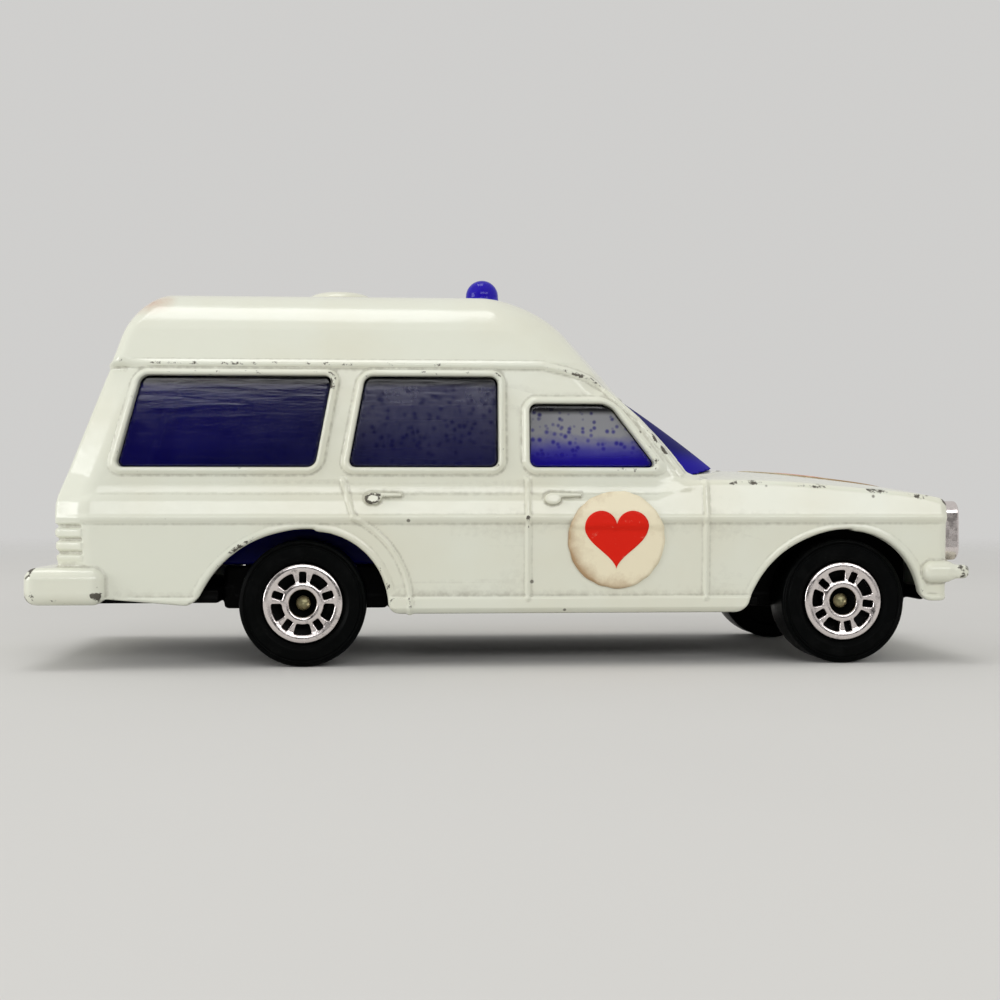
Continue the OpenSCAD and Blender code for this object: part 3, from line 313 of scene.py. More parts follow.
class Casting:
    """The toy's forms as signed distances. Places are in the frame of the CAD part."""

    def __init__(self):
        self.s = s = sizes()
        self.axle_x = {}
        self.axle_z = 0.0
        for axle in AXLES:
            low, high = node_box(f"{axle}_right_wheel")
            self.axle_x[axle] = (low[0] + high[0]) / 2
            self.axle_z = (low[2] + high[2]) / 2
        self.base_waist = TRAY_HIGH[1]
        hinge = next(j for j in frame["joints"] if j["name"] == "tailgate_lift")
        self.hinge_x, _, self.hinge_z = (v / MM for v in hinge["pos_m"])
        self.panes = (
            self.pane(1.9, 10.3, s.door_pane_head_z, 0, -37),
            self.pane(-12.5, 11.9, s.pane_head_z, 10.5, 0),
            self.pane(-30.6, 15.5, s.pane_head_z, 14.5, 10.5),
        )
        # The drip rail runs along the roof, falls with it and goes on down the front pillar
        self.rail = ((-45, s.rail_z), (3, s.rail_z), (5.04, 23.44), (6.64, 22.92), (8.0, 22.14),
                     (8.6, 21.5), (10.8, 19.6), (14.1, 15.3))

    def pane(self, foot_x, foot_l, head_z, rear_lean, front_lean):
        """Corners of a side window from its foot, its head and the leans of its ends in degrees."""
        rise = head_z - self.s.pane_foot_z
        rear, front = (rise * math.tan(math.radians(a)) for a in (rear_lean, front_lean))
        return [(foot_x, self.s.pane_foot_z), (foot_x + rear, head_z),
                (foot_x + foot_l + front, head_z), (foot_x + foot_l, self.s.pane_foot_z)]

    def tail_x(self, z):
        """Place of the tail face at a height: upright below its knee, leaning forward above."""
        heights = (0, 7.9, 12.6, 13.5, 18, 22.5, 23.5, 24.4, 26.6, 28, 29, 33)
        places = (-35.1, -35.15, -35.35, -35.2, -33.5, -31.8, -31.4, -31.0, -30.4, -29.75, -29.2, -27.0)
        return course(z, heights, places)

    def tail(self, x, z):
        """Distance behind the tail face, whose knees are softened."""
        slope = self.tail_x(z + 0.5) - self.tail_x(z - 0.5)
        middle = (self.tail_x(z - 0.6) + 2 * self.tail_x(z) + self.tail_x(z + 0.6)) / 4
        return (middle - x) / np.sqrt(1 + slope * slope)

    def tub_half(self, z):
        """Half the lower body's width at a height."""
        s = self.s
        # Height and distance from the widest place: sill moulding, panel, overhang of the crease, belt
        steps = ((s.sill_z, 0.75), (s.sill_z + 0.45, 0.45),
                 (s.sill_bar_z, 0.45), (s.sill_bar_z + 0.15, 0.6),
                 (s.crease_z - 0.55, 0.28), (s.crease_z - 0.2, 0.04),
                 (s.crease_z, 0), (s.crease_z + 0.25, 0.1), (s.belt_z, 0.58))
        heights, insets = zip(*steps)
        return course(z, heights, [s.half_w - inset for inset in insets])

    def deck(self, x, y):
        """Height of the bonnet."""
        s = self.s
        crown = (1 - 0.45 * ramp(x, 26, 35.5)) / (2 * s.bonnet_crown_r)
        return s.bonnet_z - (x - s.bonnet_x) ** 2 / (2 * s.bonnet_r) - y * y * crown

    def tub(self, x, y, z):
        """The lower body, open below."""
        s = self.s
        plan = round_max(y - self.tub_half(z), x - s.nose_x, s.nose_corner_r)
        top = s.belt_z + (self.deck(x, y) - s.belt_z) * ramp(x, 13.4, 15.4)
        return round_max(plan, z - top, course(x, (12, 15, 33, 35.5), (1.8, 0.4, 0.4, 0.6)))

    def cabin(self, x, y, z):
        """The cabin and the high roof, down to the ground."""
        s = self.s
        heights = (s.belt_z, s.rail_z, s.rail_z + 0.27, s.roof_side_z, s.roof_z)
        top_w = s.roof_side_w - (s.cabin_rail_w - s.roof_side_w) * 1.33
        widths = (s.cabin_foot_w, s.cabin_rail_w, s.cabin_rail_w, s.roof_side_w, top_w)
        side = y - course(z, heights, widths)
        # The front sweeps back towards the pillars, less so the higher it is, and the roof is crowned
        back = x + np.clip(s.bulge - 0.5 * (z - 15.5), 1.6, s.bulge) * (y / SWEEP_HALF_W) ** 2
        high = z + ROOF_CROWN * y * y
        brow, bend = (s.brow_x, s.brow_z), (s.bend_x, s.bend_z)
        dome = round_max(high - s.roof_z, above(back, high, (s.fall_x, s.fall_z), brow), s.fall_r)
        screen = round_max(above(back, z, brow, bend), above(back, z, bend, (s.cowl_x, s.bonnet_z)), 1.0)
        screen = np.maximum(screen, z - s.brow_z - 0.5)
        return round_max(side, round_min(dome, screen, 0.3), course(z, (21, 27), (0.5, s.roof_edge_r)))

    def closed(self, form, x, z):
        """A form cut off by the tail: its corners are faceted below the drip rail, rounded above."""
        s = self.s
        tail = self.tail(x, z)
        facet = s.corner_r * form + s.corner_back * tail + s.corner_r * s.corner_back
        facet = facet / math.hypot(s.corner_r, s.corner_back)
        low = round_max(round_max(form, tail, 0.4), facet, 0.3)
        high = round_max(form, tail, course(z, (27, 29), (1.0, 1.5)))
        share = ramp(z, s.rail_z - 0.3, s.rail_z + 0.5)
        return low + (high - low) * share

    def skin(self, x, y, z):
        """The whole outer form without its raised details, open below."""
        fill = course(z, (13.2, 14.6), (0.05, 0.7))
        return self.closed(round_min(self.tub(x, y, z), self.cabin(x, y, z), fill), x, z)

    def cabin_skin(self, x, y, z):
        """The cabin and the roof alone, cut off by the tail."""
        return self.closed(self.cabin(x, y, z), x, z)

    def side_panes(self, x, z):
        """Outlines of the three side windows."""
        forms = [convex(x, z, corners, self.s.pane_r) for corners in self.panes]
        return np.minimum(np.minimum(forms[0], forms[1]), forms[2])

    def screen_pane(self, x, y, z):
        """The windscreen's opening, which ends just ahead of its foot."""
        s = self.s
        half = s.screen_half_w - s.screen_taper * (z - s.screen_foot_z) / (s.brow_z - s.screen_foot_z)
        foot = self.deck(x, y) + 0.06 - z
        face = round_max(y - half, np.maximum(foot, z - s.brow_z), s.pane_r)
        ahead = x + s.bulge * (y / SWEEP_HALF_W) ** 2 - s.cowl_x - 0.6
        return np.maximum(face, np.maximum(s.fall_x - 2 - x, ahead))

    def arch(self, x, z, axle):
        """Outline of a wheel arch: round ahead of the axle, sloping behind it."""
        s = self.s
        shift, tail_r, drop = {
            "front": (s.front_arch_shift, s.front_arch_tail_r, s.front_arch_tail_z),
            "rear": (s.rear_arch_shift, s.rear_arch_tail_r, s.rear_arch_tail_z),
        }[axle]
        cx, cz = self.axle_x[axle] + shift, self.axle_z - s.arch_shift_z
        front = np.hypot(x - cx, np.maximum(z - cz, 0)) - s.arch_r
        rear = np.hypot(x - self.axle_x[axle], z - self.axle_z + drop) - tail_r
        return round_min(front, np.maximum(rear, x - cx), 0.5)

    def arches(self, x, z):
        """Outlines of both wheel arches."""
        return np.minimum(self.arch(x, z, "front"), self.arch(x, z, "rear"))

    def lower_edge(self, x, z):
        """What lies below the skirt, the sill and the valance, or in the arches, with rounded corners."""
        s = self.s
        front_x, rear_x = self.axle_x["front"], self.axle_x["rear"]
        skirt = course(x, (SHELL_LOW[0] + s.rear_bumper_l, rear_x - 9), (5.4, s.skirt_z))
        low = np.where(x < rear_x, skirt, np.where(x < front_x, s.sill_z, s.valance_z))
        return round_max(low - z, -self.arches(x, z), 0.9)

    def gate_pane(self, y, z, grow):
        """Outline of the tailgate's window, larger by grow."""
        s = self.s
        half = s.gate_half_w - s.gate_frame_w + grow
        height = np.maximum(s.gate_pane_foot_z - grow - z, z - s.gate_pane_head_z - grow)
        return round_max(y - half, height, s.pane_r)

    def lamp(self, y, z, grow):
        """Outline of the left headlamp, larger by grow."""
        s = self.s
        middle = LAMP_HIGH[1] + s.fit_gap - s.lamp_w / 2
        tall = s.fit_gap + grow + s.lamp_more
        low, high = LAMP_LOW[2] - tall, LAMP_HIGH[2] + tall
        return round_max(np.abs(y - middle) - s.lamp_w / 2 - grow, np.maximum(low - z, z - high), s.lamp_r)

    def lines(self, x, z):
        """Height of the raised lines on the sides: window frames, drip rail and door lines."""
        s = self.s
        pane = self.side_panes(x, z)
        height = s.frame_proud * bead(pane - s.frame_w / 2, s.frame_w)
        rail = bead(to_line(x, z, self.rail), 0.4)
        height = np.maximum(height, s.rail_proud * rail)
        cx, cz = self.axle_x["rear"] + s.rear_arch_shift, self.axle_z - s.arch_shift_z
        turn = math.radians(65)
        bow_end = (cx + s.door_arch_r * math.cos(turn), cz + s.door_arch_r * math.sin(turn))
        door = np.minimum(np.abs(x - s.door_line_x), np.abs(x - s.door_front_x))
        door = np.maximum(door, np.maximum(s.sill_bar_z - z, z - s.belt_z))
        bow = np.abs(np.hypot(x - cx, z - cz) - s.door_arch_r)
        bow = np.maximum(bow, np.maximum(bow_end[0] - x, z - bow_end[1]))
        door = np.minimum(door, np.minimum(bow, to_segment(x, z, bow_end, (s.door_rear_x, s.belt_z))))
        height = np.maximum(height, s.ridge_proud * bead(door, s.ridge_w / 2 + 0.1))
        lip = self.arches(x, z)
        return np.maximum(height, 0.1 * bead(lip - 0.25, 0.4) * ramp(z, 5.4, 6.5))

    def tail_lamps(self, x, y, z):
        """Height of the ribs of the tail-lamps round the rear corners."""
        s = self.s
        grooves = sum(bead(z - centre, 0.3) for centre in (9.05, 10.08, 11.11))
        reach = ramp(self.tail_x(z) + 2.25 - x, 0, 0.15) * ramp(y, s.gate_half_w + 0.5, s.gate_half_w + 0.8)
        return reach * (0.1 * ramp(z, 8.3, 8.6) * ramp(-z, -11.6, -11.3) - 0.34 * grooves)

    def bar(self, x, y, z, ends, foot_z, height, outward):
        """A bumper from its two ends, wrapped round the body's corners."""
        s = self.s
        outer, inner = ends
        form = round_max(y - SHELL_HIGH[1], outward * (x - outer), s.bumper_corner_r)
        edge = min(s.bumper_r, height * 0.4)
        form = round_max(form, np.maximum(foot_z - z, z - foot_z - height), edge)
        return round_max(form, outward * (inner - x), edge)

    def bumpers(self, x, y, z):
        """The rear bumper, and the front one with its thinner blade."""
        s = self.s
        rear = self.bar(x, y, z, (SHELL_LOW[0], SHELL_LOW[0] + s.rear_bumper_l),
                        s.rear_bumper_z, s.rear_bumper_h, -1)
        front = self.bar(x, y, z, (SHELL_HIGH[0] - s.blade_l, SHELL_HIGH[0] - s.front_bumper_l),
                         s.front_bumper_z, s.front_bumper_h, 1)
        blade = self.bar(x, y, z, (SHELL_HIGH[0], SHELL_HIGH[0] - s.front_bumper_l),
                         s.front_bumper_z + (s.front_bumper_h - s.blade_h) / 2, s.blade_h, 1)
        return np.minimum(rear, round_min(front, blade, 0.3))

    def handle(self, x, y, z, start):
        """A paddle handle: thick at its rear end, a thin bar ahead."""
        s = self.s
        h = s.handle_h
        knob = np.hypot((x - start - 0.7 * h) * 0.7, z - s.handle_z + 0.18) - h / 2
        half = h * (0.22 - 0.08 * ramp(x, start, start + s.handle_l))
        stem = np.maximum(start + h / 2 - x, x - start - s.handle_l)
        stem = np.maximum(np.abs(z - s.handle_z - 0.1) - half, stem)
        reach = self.tub_half(z) + s.handle_proud
        return round_max(np.minimum(knob, stem), np.maximum(y - reach, reach - 1.2 - y), 0.2)

    def openings(self, x, y, z):
        """Everything that is cut out of the casting."""
        s = self.s
        cut = np.minimum(self.side_panes(x, z), self.screen_pane(x, y, z))
        gate = np.maximum(y - s.gate_half_w, np.maximum(s.gate_foot_z - z, z - self.hinge_z))
        gate = np.maximum(gate, x - self.tail_x(z) - 4)
        hinge = np.hypot(x - self.hinge_x, z - self.hinge_z) - s.hinge_r - s.gate_gap - s.fit_gap
        gate = np.minimum(gate, np.maximum(hinge, y - s.gate_half_w))
        face = np.maximum(np.minimum(self.lamp(y, z, 0), self.grille_face(y, z, 0)), s.nose_x - 2.4 - x)
        beacon = np.maximum(np.hypot(x - s.beacon_x, y) - s.beacon_r - s.fit_gap, s.rail_z - z)
        return np.minimum(np.minimum(cut, gate), np.minimum(face, beacon))

    def grille_face(self, y, z, grow):
        """Outline of the grille's opening, larger by grow."""
        s = self.s
        half = GRILLE_HIGH[1] - s.wall + grow
        low, high = LAMP_LOW[2] - s.fit_gap - grow, GRILLE_HIGH[2] + s.fit_gap + grow
        return round_max(y - half, np.maximum(low - z, z - high), 0.25)

    def body(self, x, y, z):
        """The painted casting: hollow, open below, with its openings and raised details."""
        s = self.s
        y = np.abs(y)
        skin = self.skin(x, y, z)
        form = round_max(skin, self.lower_edge(x, z), 0.3) - self.lines(x, z) - self.tail_lamps(x, y, z)
        form = round_min(form, self.bumpers(x, y, z), 0.2)
        front_handle = self.handle(x, y, z, s.door_line_x + 1.3)
        rear_handle = self.handle(x, y, z, s.door_rear_x + 1.7)
        form = round_min(form, np.minimum(front_handle, rear_handle), 0.12)
        flat = 0.75 * (SHELL_HIGH[2] - s.roof_z)
        across = np.hypot(x - s.vent_x, y) / s.vent_r
        vent = (np.hypot(across * across, np.maximum(z - s.roof_z, 0) / flat) - 1) * flat
        form = round_min(form, np.maximum(vent, s.rail_z - z), 0.3)
        form = round_max(form, -skin - s.wall, s.paint_edge)
        return round_max(form, -self.openings(x, y, z), s.paint_edge)

    def gate(self, x, y, z):
        """The tailgate: a piece of the tail with a window, a hinge bead and a grip."""
        s = self.s
        y = np.abs(y)
        skin = self.skin(x, y, z)
        half = s.gate_half_w - s.gate_gap
        outline = np.maximum(y - half, np.maximum(s.gate_foot_z + s.gate_gap - z, z - self.hinge_z))
        outline = np.maximum(outline, x - self.tail_x(z) - 3)
        pane = self.gate_pane(y, z, 0)
        raised = s.frame_proud * bead(pane - s.frame_w / 2, s.frame_w * 0.85)
        form = round_max(skin - raised, -skin - s.wall, s.paint_edge)
        form = round_max(form, outline, s.paint_edge)
        hinge = np.hypot(x - self.hinge_x, z - self.hinge_z) - s.hinge_r
        form = round_min(form, round_max(hinge, y - half, 0.15), 0.15)
        grip = round_max(np.hypot(x - self.tail_x(z), z - 11.9) - 0.4, y - 1.7, 0.2)
        form = round_min(form, grip, 0.15)
        return round_max(form, -np.maximum(pane, x - self.tail_x(z) - 4), s.paint_edge)

    def gate_glass(self, x, y, z):
        """The tailgate's pane with its rim behind the opening."""
        s = self.s
        y = np.abs(y)
        skin = self.cabin_skin(x, y, z)
        inset = s.wall + s.fit_gap
        rim = round_max(skin + inset, self.gate_pane(y, z, 0.6), 0.1)
        pane = round_max(skin + s.pane_depth, self.gate_pane(y, z, -s.fit_gap), 0.15)
        form = np.maximum(np.minimum(rim, pane), -skin - inset - s.pane_t)
        return np.maximum(form, x - self.tail_x(z) - 4)

    def glass(self, x, y, z):
        """The window moulding: a thin inner shell with raised panes, and the beacon on top."""
        s = self.s
        y = np.abs(y)
        skin = self.cabin_skin(x, y, z)
        inset = s.wall + s.fit_gap
        side = round_max(skin + s.pane_depth, self.side_panes(x, z) + s.fit_gap, 0.1)
        front = round_max(skin + s.screen_depth, self.screen_pane(x, y, z) + s.fit_gap, 0.15)
        form = np.minimum(np.minimum(skin + inset, side), front)
        form = round_max(form, -skin - inset - s.pane_t, 0.1)
        form = np.maximum(form, np.maximum(GLASS_LOW[2] - z, self.tail_x(z) + s.glass_rear_gap - x))
        top = GLASS_HIGH[2] - s.beacon_r
        ball = np.sqrt((x - s.beacon_x) ** 2 + y * y + np.maximum(z - top, 0) ** 2) - s.beacon_r
        ball = np.maximum(ball, s.roof_z - s.wall - s.pane_t - z)
        collar = np.hypot(np.hypot(x - s.beacon_x, y) - s.beacon_r + 0.12, z - s.roof_z - 0.35) - 0.2
        return round_min(form, np.minimum(ball, collar), 0.15)

    def tray(self, x, y, z):
        """The patient bay's floor with walls on three sides."""
        y = np.abs(y)
        t = self.s.pane_t
        outer = block(x, y, z, (TRAY_LOW[0], -TRAY_HIGH[1], TRAY_LOW[2]), TRAY_HIGH, 0.25)
        room = block(x, y, z, (TRAY_LOW[0] - 5, t - TRAY_HIGH[1], TRAY_LOW[2] + t),
                     (TRAY_HIGH[0] - t, TRAY_HIGH[1] - t, TRAY_HIGH[2] + 5), 0.4)
        return round_max(outer, -room, 0.2)

    def base(self, x, y, z):
        """The black base plate with its wheel wells, bearings and shallow relief below."""
        s = self.s
        y = np.abs(y)
        inset = s.wall + s.fit_gap
        waist, well_l, well_t = self.base_waist, 6.6, 0.8
        front_x, rear_x = self.axle_x["front"], self.axle_x["rear"]
        plate_t, rise = 1.1, 0.7
        plan = round_max(y - self.tub_half(np.maximum(z, s.sill_z)) + inset,
                         np.maximum(BASE_LOW[0] - x, x - BASE_HIGH[0]), 1.0)
        middle = np.maximum(rear_x - well_l - x, x - front_x - well_l)
        rib = 0.22 * bead(y - 4.6, 0.5) * ramp(x, rear_x + 4, rear_x + 5) * ramp(front_x - 7 - x, 0, 1)
        shaft = 0.45 * bead(y, 1.3) * ramp(x, rear_x + 2.5, rear_x + 3.5) * ramp(front_x - 8 - x, 0, 1)
        low = BASE_LOW[2] + 0.3 - np.maximum(rib, shaft)
        plate = round_max(np.maximum(low - z, z - BASE_LOW[2] - plate_t), middle, 0.2)
        ends = round_max(np.maximum(BASE_LOW[2] + rise - z, z - BASE_LOW[2] - plate_t - rise),
                         -middle - well_t, 0.2)
        form = round_max(np.minimum(plate, ends), plan, 0.2)
        for axle_x, head_z in ((front_x, BASE_HIGH[2]), (rear_x, TRAY_LOW[2] - s.fit_gap)):
            recess = block(x, y, z, (axle_x - well_l, waist, -10), (axle_x + well_l, 30, 30), 0.2)
            form = round_max(form, -recess, 0.2)
            wall = block(x, y, z, (axle_x - well_l, waist - well_t, BASE_LOW[2]),
                         (axle_x + well_l, waist, head_z), 0.2)
            bearing = block(x, y, z, (axle_x - 1.5, waist - 2.2, BASE_LOW[2]),
                            (axle_x + 1.5, waist, BASE_LOW[2] + 2.2), 0.25)
            form = round_min(form, np.minimum(wall, bearing), 0.2)
        for rivet in rivet_places():
            form = round_max(form, 2.0 - np.hypot(x - rivet[0], y), 0.15)
        return form

    def grille(self, x, y, z):
        """The plated grille: rounded bars over a back plate."""
        s = self.s
        y = np.abs(y)
        bars = 5
        low, high = LAMP_LOW[2], GRILLE_HIGH[2]
        pitch = (high - low) / bars
        phase = (z - low) / pitch - np.floor((z - low) / pitch) - 0.5
        groove = 0.45 * ramp(np.abs(phase), 0.24, 0.44) * ramp(5.2 - y, 0, 0.3)
        post = 0.12 * bead(y, 0.5)
        face = round_max(self.grille_face(y, z, -s.fit_gap), x - GRILLE_HIGH[0] + groove - post, 0.12)
        form = np.maximum(face, GRILLE_LOW[0] + 0.6 - x)
        back = block(x, y, z, (GRILLE_LOW[0], -GRILLE_HIGH[1], GRILLE_LOW[2]),
                     (s.nose_x - s.wall - s.fit_gap, GRILLE_HIGH[1], GRILLE_HIGH[2]), 0.1)
        return np.minimum(form, back)

    def lamps(self, x, y, z):
        """The headlamps: a raised rim round a fluted lens."""
        s = self.s
        y = np.abs(y)
        outline = self.lamp(y, z, -s.fit_gap)
        middle = LAMP_HIGH[1] + s.fit_gap - s.lamp_w / 2
        lens = ramp(-outline, 0.3, 0.5)
        bulge = 0.3 - 0.05 * ((y - middle) ** 2 + (z - (LAMP_LOW[2] + LAMP_HIGH[2]) / 2) ** 2)
        flutes = 0.05 * np.cos((y - middle) * 2 * math.pi / 0.62)
        sunk = lens * (0.38 - bulge - flutes)
        return np.maximum(round_max(outline, x - LAMP_HIGH[0] - 0.3 + sunk, 0.18), LAMP_LOW[0] - x)

    def hub(self, u, v, w, turn):
        """A hub trim seen along its axle: two rings joined by five pairs of spokes."""
        s = self.s
        r = np.hypot(u, v)
        rim = s.dish_r - s.fit_gap
        web = np.maximum(r - rim, s.hub_hole_r - r)
        step = 2 * math.pi / 5
        angle = np.arctan2(v, u) - math.radians(turn)
        slot_angle = (angle + step / 2) % step - step / 2
        window_angle = angle % step - step / 2
        band = np.maximum(s.hub_inner_r - r, r - s.hub_outer_r)
        slot = round_max(np.abs(r * np.sin(slot_angle)) - s.hub_slot_w / 2, band, 0.12)
        window = round_max(r * (np.abs(window_angle) - math.radians(17)), band, 0.15)
        web = round_max(web, -np.minimum(slot, window), 0.04)
        crown = 0.1 * bead(r - (rim + s.hub_outer_r) / 2, 0.5) + 0.08 * bead(r - 1.37, 0.45)
        return np.maximum(round_max(web, w + 0.1 - crown, 0.1), -s.dish_depth + s.fit_gap - w)


def rivet_places():
    """Place and lower face of each rivet, from the CAD part's box."""
    low, high = node_box("base_rivets")
    head_r = 1.9
    return ((low[0] + head_r, low[2] + 0.7), (high[0] - head_r, low[2]))


# Meshes from the forms


def surface(field, low, high, cell, half):
    """Points and quads of a form's surface inside a box. With half, only the left half is meshed."""
    low, high = np.array(low) - 3 * cell, np.array(high) + 3 * cell
    axes = [np.arange(a, b, cell, dtype=np.float32) for a, b in zip(low, high)]
    if half:
        axes[1] = (np.arange(int(high[1] / cell) + 1, dtype=np.float32) - 0.5) * np.float32(cell)
    x, y, z = axes[0][:, None, None], axes[1][None, :, None], axes[2][None, None, :]
    values = np.empty([len(a) for a in axes], np.float32)
    slab = 24
    for start in range(0, len(axes[0]), slab):
        values[start:start + slab] = field(x[start:start + slab], y, z)
    inside = values < 0
    corners = [(i, j, k) for i in (0, 1) for j in (0, 1) for k in (0, 1)]
    shape = np.array(values.shape) - 1
    filled = np.zeros(shape, np.uint8)
    for i, j, k in corners:
        filled += inside[i:i + shape[0], j:j + shape[1], k:k + shape[2]]
    mixed = (filled > 0) & (filled < 8)
    cells = np.argwhere(mixed)
    number = np.full(shape, -1, np.int32)
    number[mixed] = np.arange(len(cells))
    total, hits = np.zeros((len(cells), 3)), np.zeros(len(cells))
    for axis in range(3):
        for corner in corners:
            if corner[axis]:
                continue
            far = np.array(corner)
            far[axis] = 1
            a = values[tuple((cells + corner).T)]
            b = values[tuple((cells + far).T)]
            cross = (a < 0) != (b < 0)
            share = np.where(cross, a / np.where(cross, a - b, 1), 0)
            total[cross] += corner
            total[:, axis] += share
            hits += cross
    origin = np.array([a[0] for a in axes])
    points = origin + cell * (cells + total / hits[:, None])
    if half:
        points[cells[:, 1] == 0, 1] = 0
    quads = []
    for axis in range(3):
        ahead = np.moveaxis(inside, axis, 0)
        for leaving in (True, False):
            change = (ahead[:-1] & ~ahead[1:]) if leaving else (~ahead[:-1] & ahead[1:])
            edges = np.argwhere(np.moveaxis(change, 0, axis))
            b, c = (axis + 1) % 3, (axis + 2) % 3
            edges = edges[(edges[:, b] > 0) & (edges[:, c] > 0)]
            edges = edges[(edges[:, b] < shape[b]) & (edges[:, c] < shape[c])]
            ring = []
            for back_b, back_c in ((1, 1), (0, 1), (0, 0), (1, 0)):
                place = edges.copy()
                place[:, b] -= back_b
                place[:, c] -= back_c
                ring.append(number[tuple(place.T)])
            quads.append(np.stack(ring if leaving else ring[::-1], axis=1))
    return points, np.concatenate(quads)


def thinned(points, faces, keep):
    """The same surface with fewer faces where it is flat."""
    mesh = bpy.data.meshes.new("thinning")
    mesh.from_pydata(points, [], faces)
    obj = bpy.data.objects.new("thinning", mesh)
    bpy.context.collection.objects.link(obj)
    modifier = obj.modifiers.new("Decimate", "DECIMATE")
    modifier.ratio = keep
    modifier.use_collapse_triangulate = True
    result = obj.evaluated_get(bpy.context.evaluated_depsgraph_get()).to_mesh()
    points = np.empty(len(result.vertices) * 3, np.float32)
    result.vertices.foreach_get("co", points)
    corners = np.empty(len(result.loops), np.int32)
    result.loops.foreach_get("vertex_index", corners)
    bpy.data.objects.remove(obj)
    bpy.data.meshes.remove(mesh)
    return points.reshape(-1, 3).astype(float), corners.reshape(-1, 3)


def mirrored(points, faces):
    """A left half and its mirror image as one closed surface."""
    sides = np.sort(np.concatenate([faces[:, [i, (i + 1) % faces.shape[1]]] for i in range(faces.shape[1])]))
    keys, counts = np.unique(sides, axis=0, return_counts=True)
    seam = np.zeros(len(points), bool)
    seam[keys[counts == 1].ravel()] = True
    points[seam, 1] = 0
    twin = np.arange(len(points))
    twin[~seam] = len(points) + np.arange(np.count_nonzero(~seam))
    copies = points[~seam] * (1, -1, 1)
    return np.concatenate([points, copies]), np.concatenate([faces, twin[faces][:, ::-1]])


def slope(field, points, step):
    """Direction in which a form's distance grows, and how much it bends, at each point."""
    x, y, z = points.T.astype(np.float32)
    middle = field(x, y, z)
    normal = np.zeros((len(points), 3))
    bend = -6 * middle
    for axis in range(3):
        shift = [np.float32(step if a == axis else 0) for a in range(3)]
        up = field(x + shift[0], y + shift[1], z + shift[2])
        down = field(x - shift[0], y - shift[1], z - shift[2])
        normal[:, axis] = up - down
        bend = bend + up + down
    size = np.linalg.norm(normal, axis=1, keepdims=True)
    return normal / np.maximum(size, 1e-6), bend / (step * step)


def new_object(name, points, faces, normals=None):
    """A smooth mesh object from points in millimetres."""
    mesh = bpy.data.meshes.new(name)
    mesh.from_pydata(np.asarray(points) * MM, [], [list(face) for face in faces])
    mesh.polygons.foreach_set("use_smooth", [True] * len(mesh.polygons))
    if normals is not None:
        mesh.normals_split_custom_set_from_vertices(normals)
    obj = bpy.data.objects.new(name, mesh)
    bpy.context.collection.objects.link(obj)
    return obj


def paint_values(obj, name, values):
    """Keeps one number per vertex for the material to read."""
    layer = obj.data.attributes.new(name, "FLOAT", "POINT")
    layer.data.foreach_set("value", np.asarray(values, np.float32))


def moulded(name, field, low, high, cell, keep, half=True):
    """An object meshed from a form, with values for its edges and its inner corners."""
    points, faces = surface(field, low, high, cell, half)
    if keep < 1:
        points, faces = thinned(points, faces, keep)
    if half:
        points, faces = mirrored(points, faces)
    normals, _ = slope(field, points, 0.04)
    obj = new_object(name, points, faces, normals)
    _, bend = slope(field, points, 0.22)
    paint_values(obj, "edge", np.clip(bend / 3, 0, 1))
    paint_values(obj, "corner", np.clip(-bend / 4, 0, 1))
    return obj


def lathe(name, profile, segments, place, outward):
    """A turned piece. The profile gives radius and distance along the axle, the outer face at 0."""
    turns = np.linspace(0, 2 * math.pi, segments, endpoint=False)
    points, faces = [], []
    for r, w in profile:
        for t in turns:
            points.append((place[0] + r * math.cos(t), place[1] + outward * w, place[2] + r * math.sin(t)))
    for i in range(len(profile) - 1):
        for j in range(segments):
            k = (j + 1) % segments
            face = [i * segments + j, i * segments + k, (i + 1) * segments + k, (i + 1) * segments + j]
            faces.append(face[::outward])
    return new_object(name, points, faces)


def filleted(corners, steps=5):
    """A profile whose corners, each with its radius, are rounded."""
    rounded = []
    for i, (x, y, r) in enumerate(corners):
        here = np.array((x, y))
        before = np.array(corners[i - 1][:2]) - here
        after = np.array(corners[(i + 1) % len(corners)][:2]) - here
        if r <= 0:
            rounded.append((x, y))
            continue
        before, after = before / np.linalg.norm(before), after / np.linalg.norm(after)
        half = math.acos(np.clip(before @ after, -1, 1)) / 2
        reach = r / math.tan(half)
        start, end = here + before * reach, here + after * reach
        for t in np.linspace(0, 1, steps):
            rounded.append(tuple((1 - t) ** 2 * start + 2 * t * (1 - t) * here + t * t * end))
    return rounded


# Materials

# Kinds of node that the materials use most
NOISE = "ShaderNodeTexNoise"
RANGE = "ShaderNodeMapRange"
MATH = "ShaderNodeMath"
MIX = "ShaderNodeMix"
BUMP = "ShaderNodeBump"


def add(tree, kind, inputs=None, **settings):
    """Adds a node, sets its properties, and fills its inputs with values or with links from sockets."""
    node = tree.nodes.new(kind)
    for key, value in settings.items():
        setattr(node, key, value)
    for key, value in (inputs or {}).items():
        if isinstance(value, bpy.types.NodeSocket):
            tree.links.new(value, node.inputs[key])
        else:
            node.inputs[key].default_value = value
    return node


def per_mm(size):
    """Texture scale whose features are about size millimetres wide."""
    return 1 / (size * MM)


def new_material(name):
    """An empty material with its shader and the piece's own coordinates."""
    material = bpy.data.materials.new(name)
    material.use_nodes = True
    tree = material.node_tree
    tree.nodes.clear()
    shader = add(tree, "ShaderNodeBsdfPrincipled")
    add(tree, "ShaderNodeOutputMaterial", {"Surface": shader.outputs[0]})
    spot = add(tree, "ShaderNodeTexCoord").outputs["Object"]
    return material, tree, shader, spot


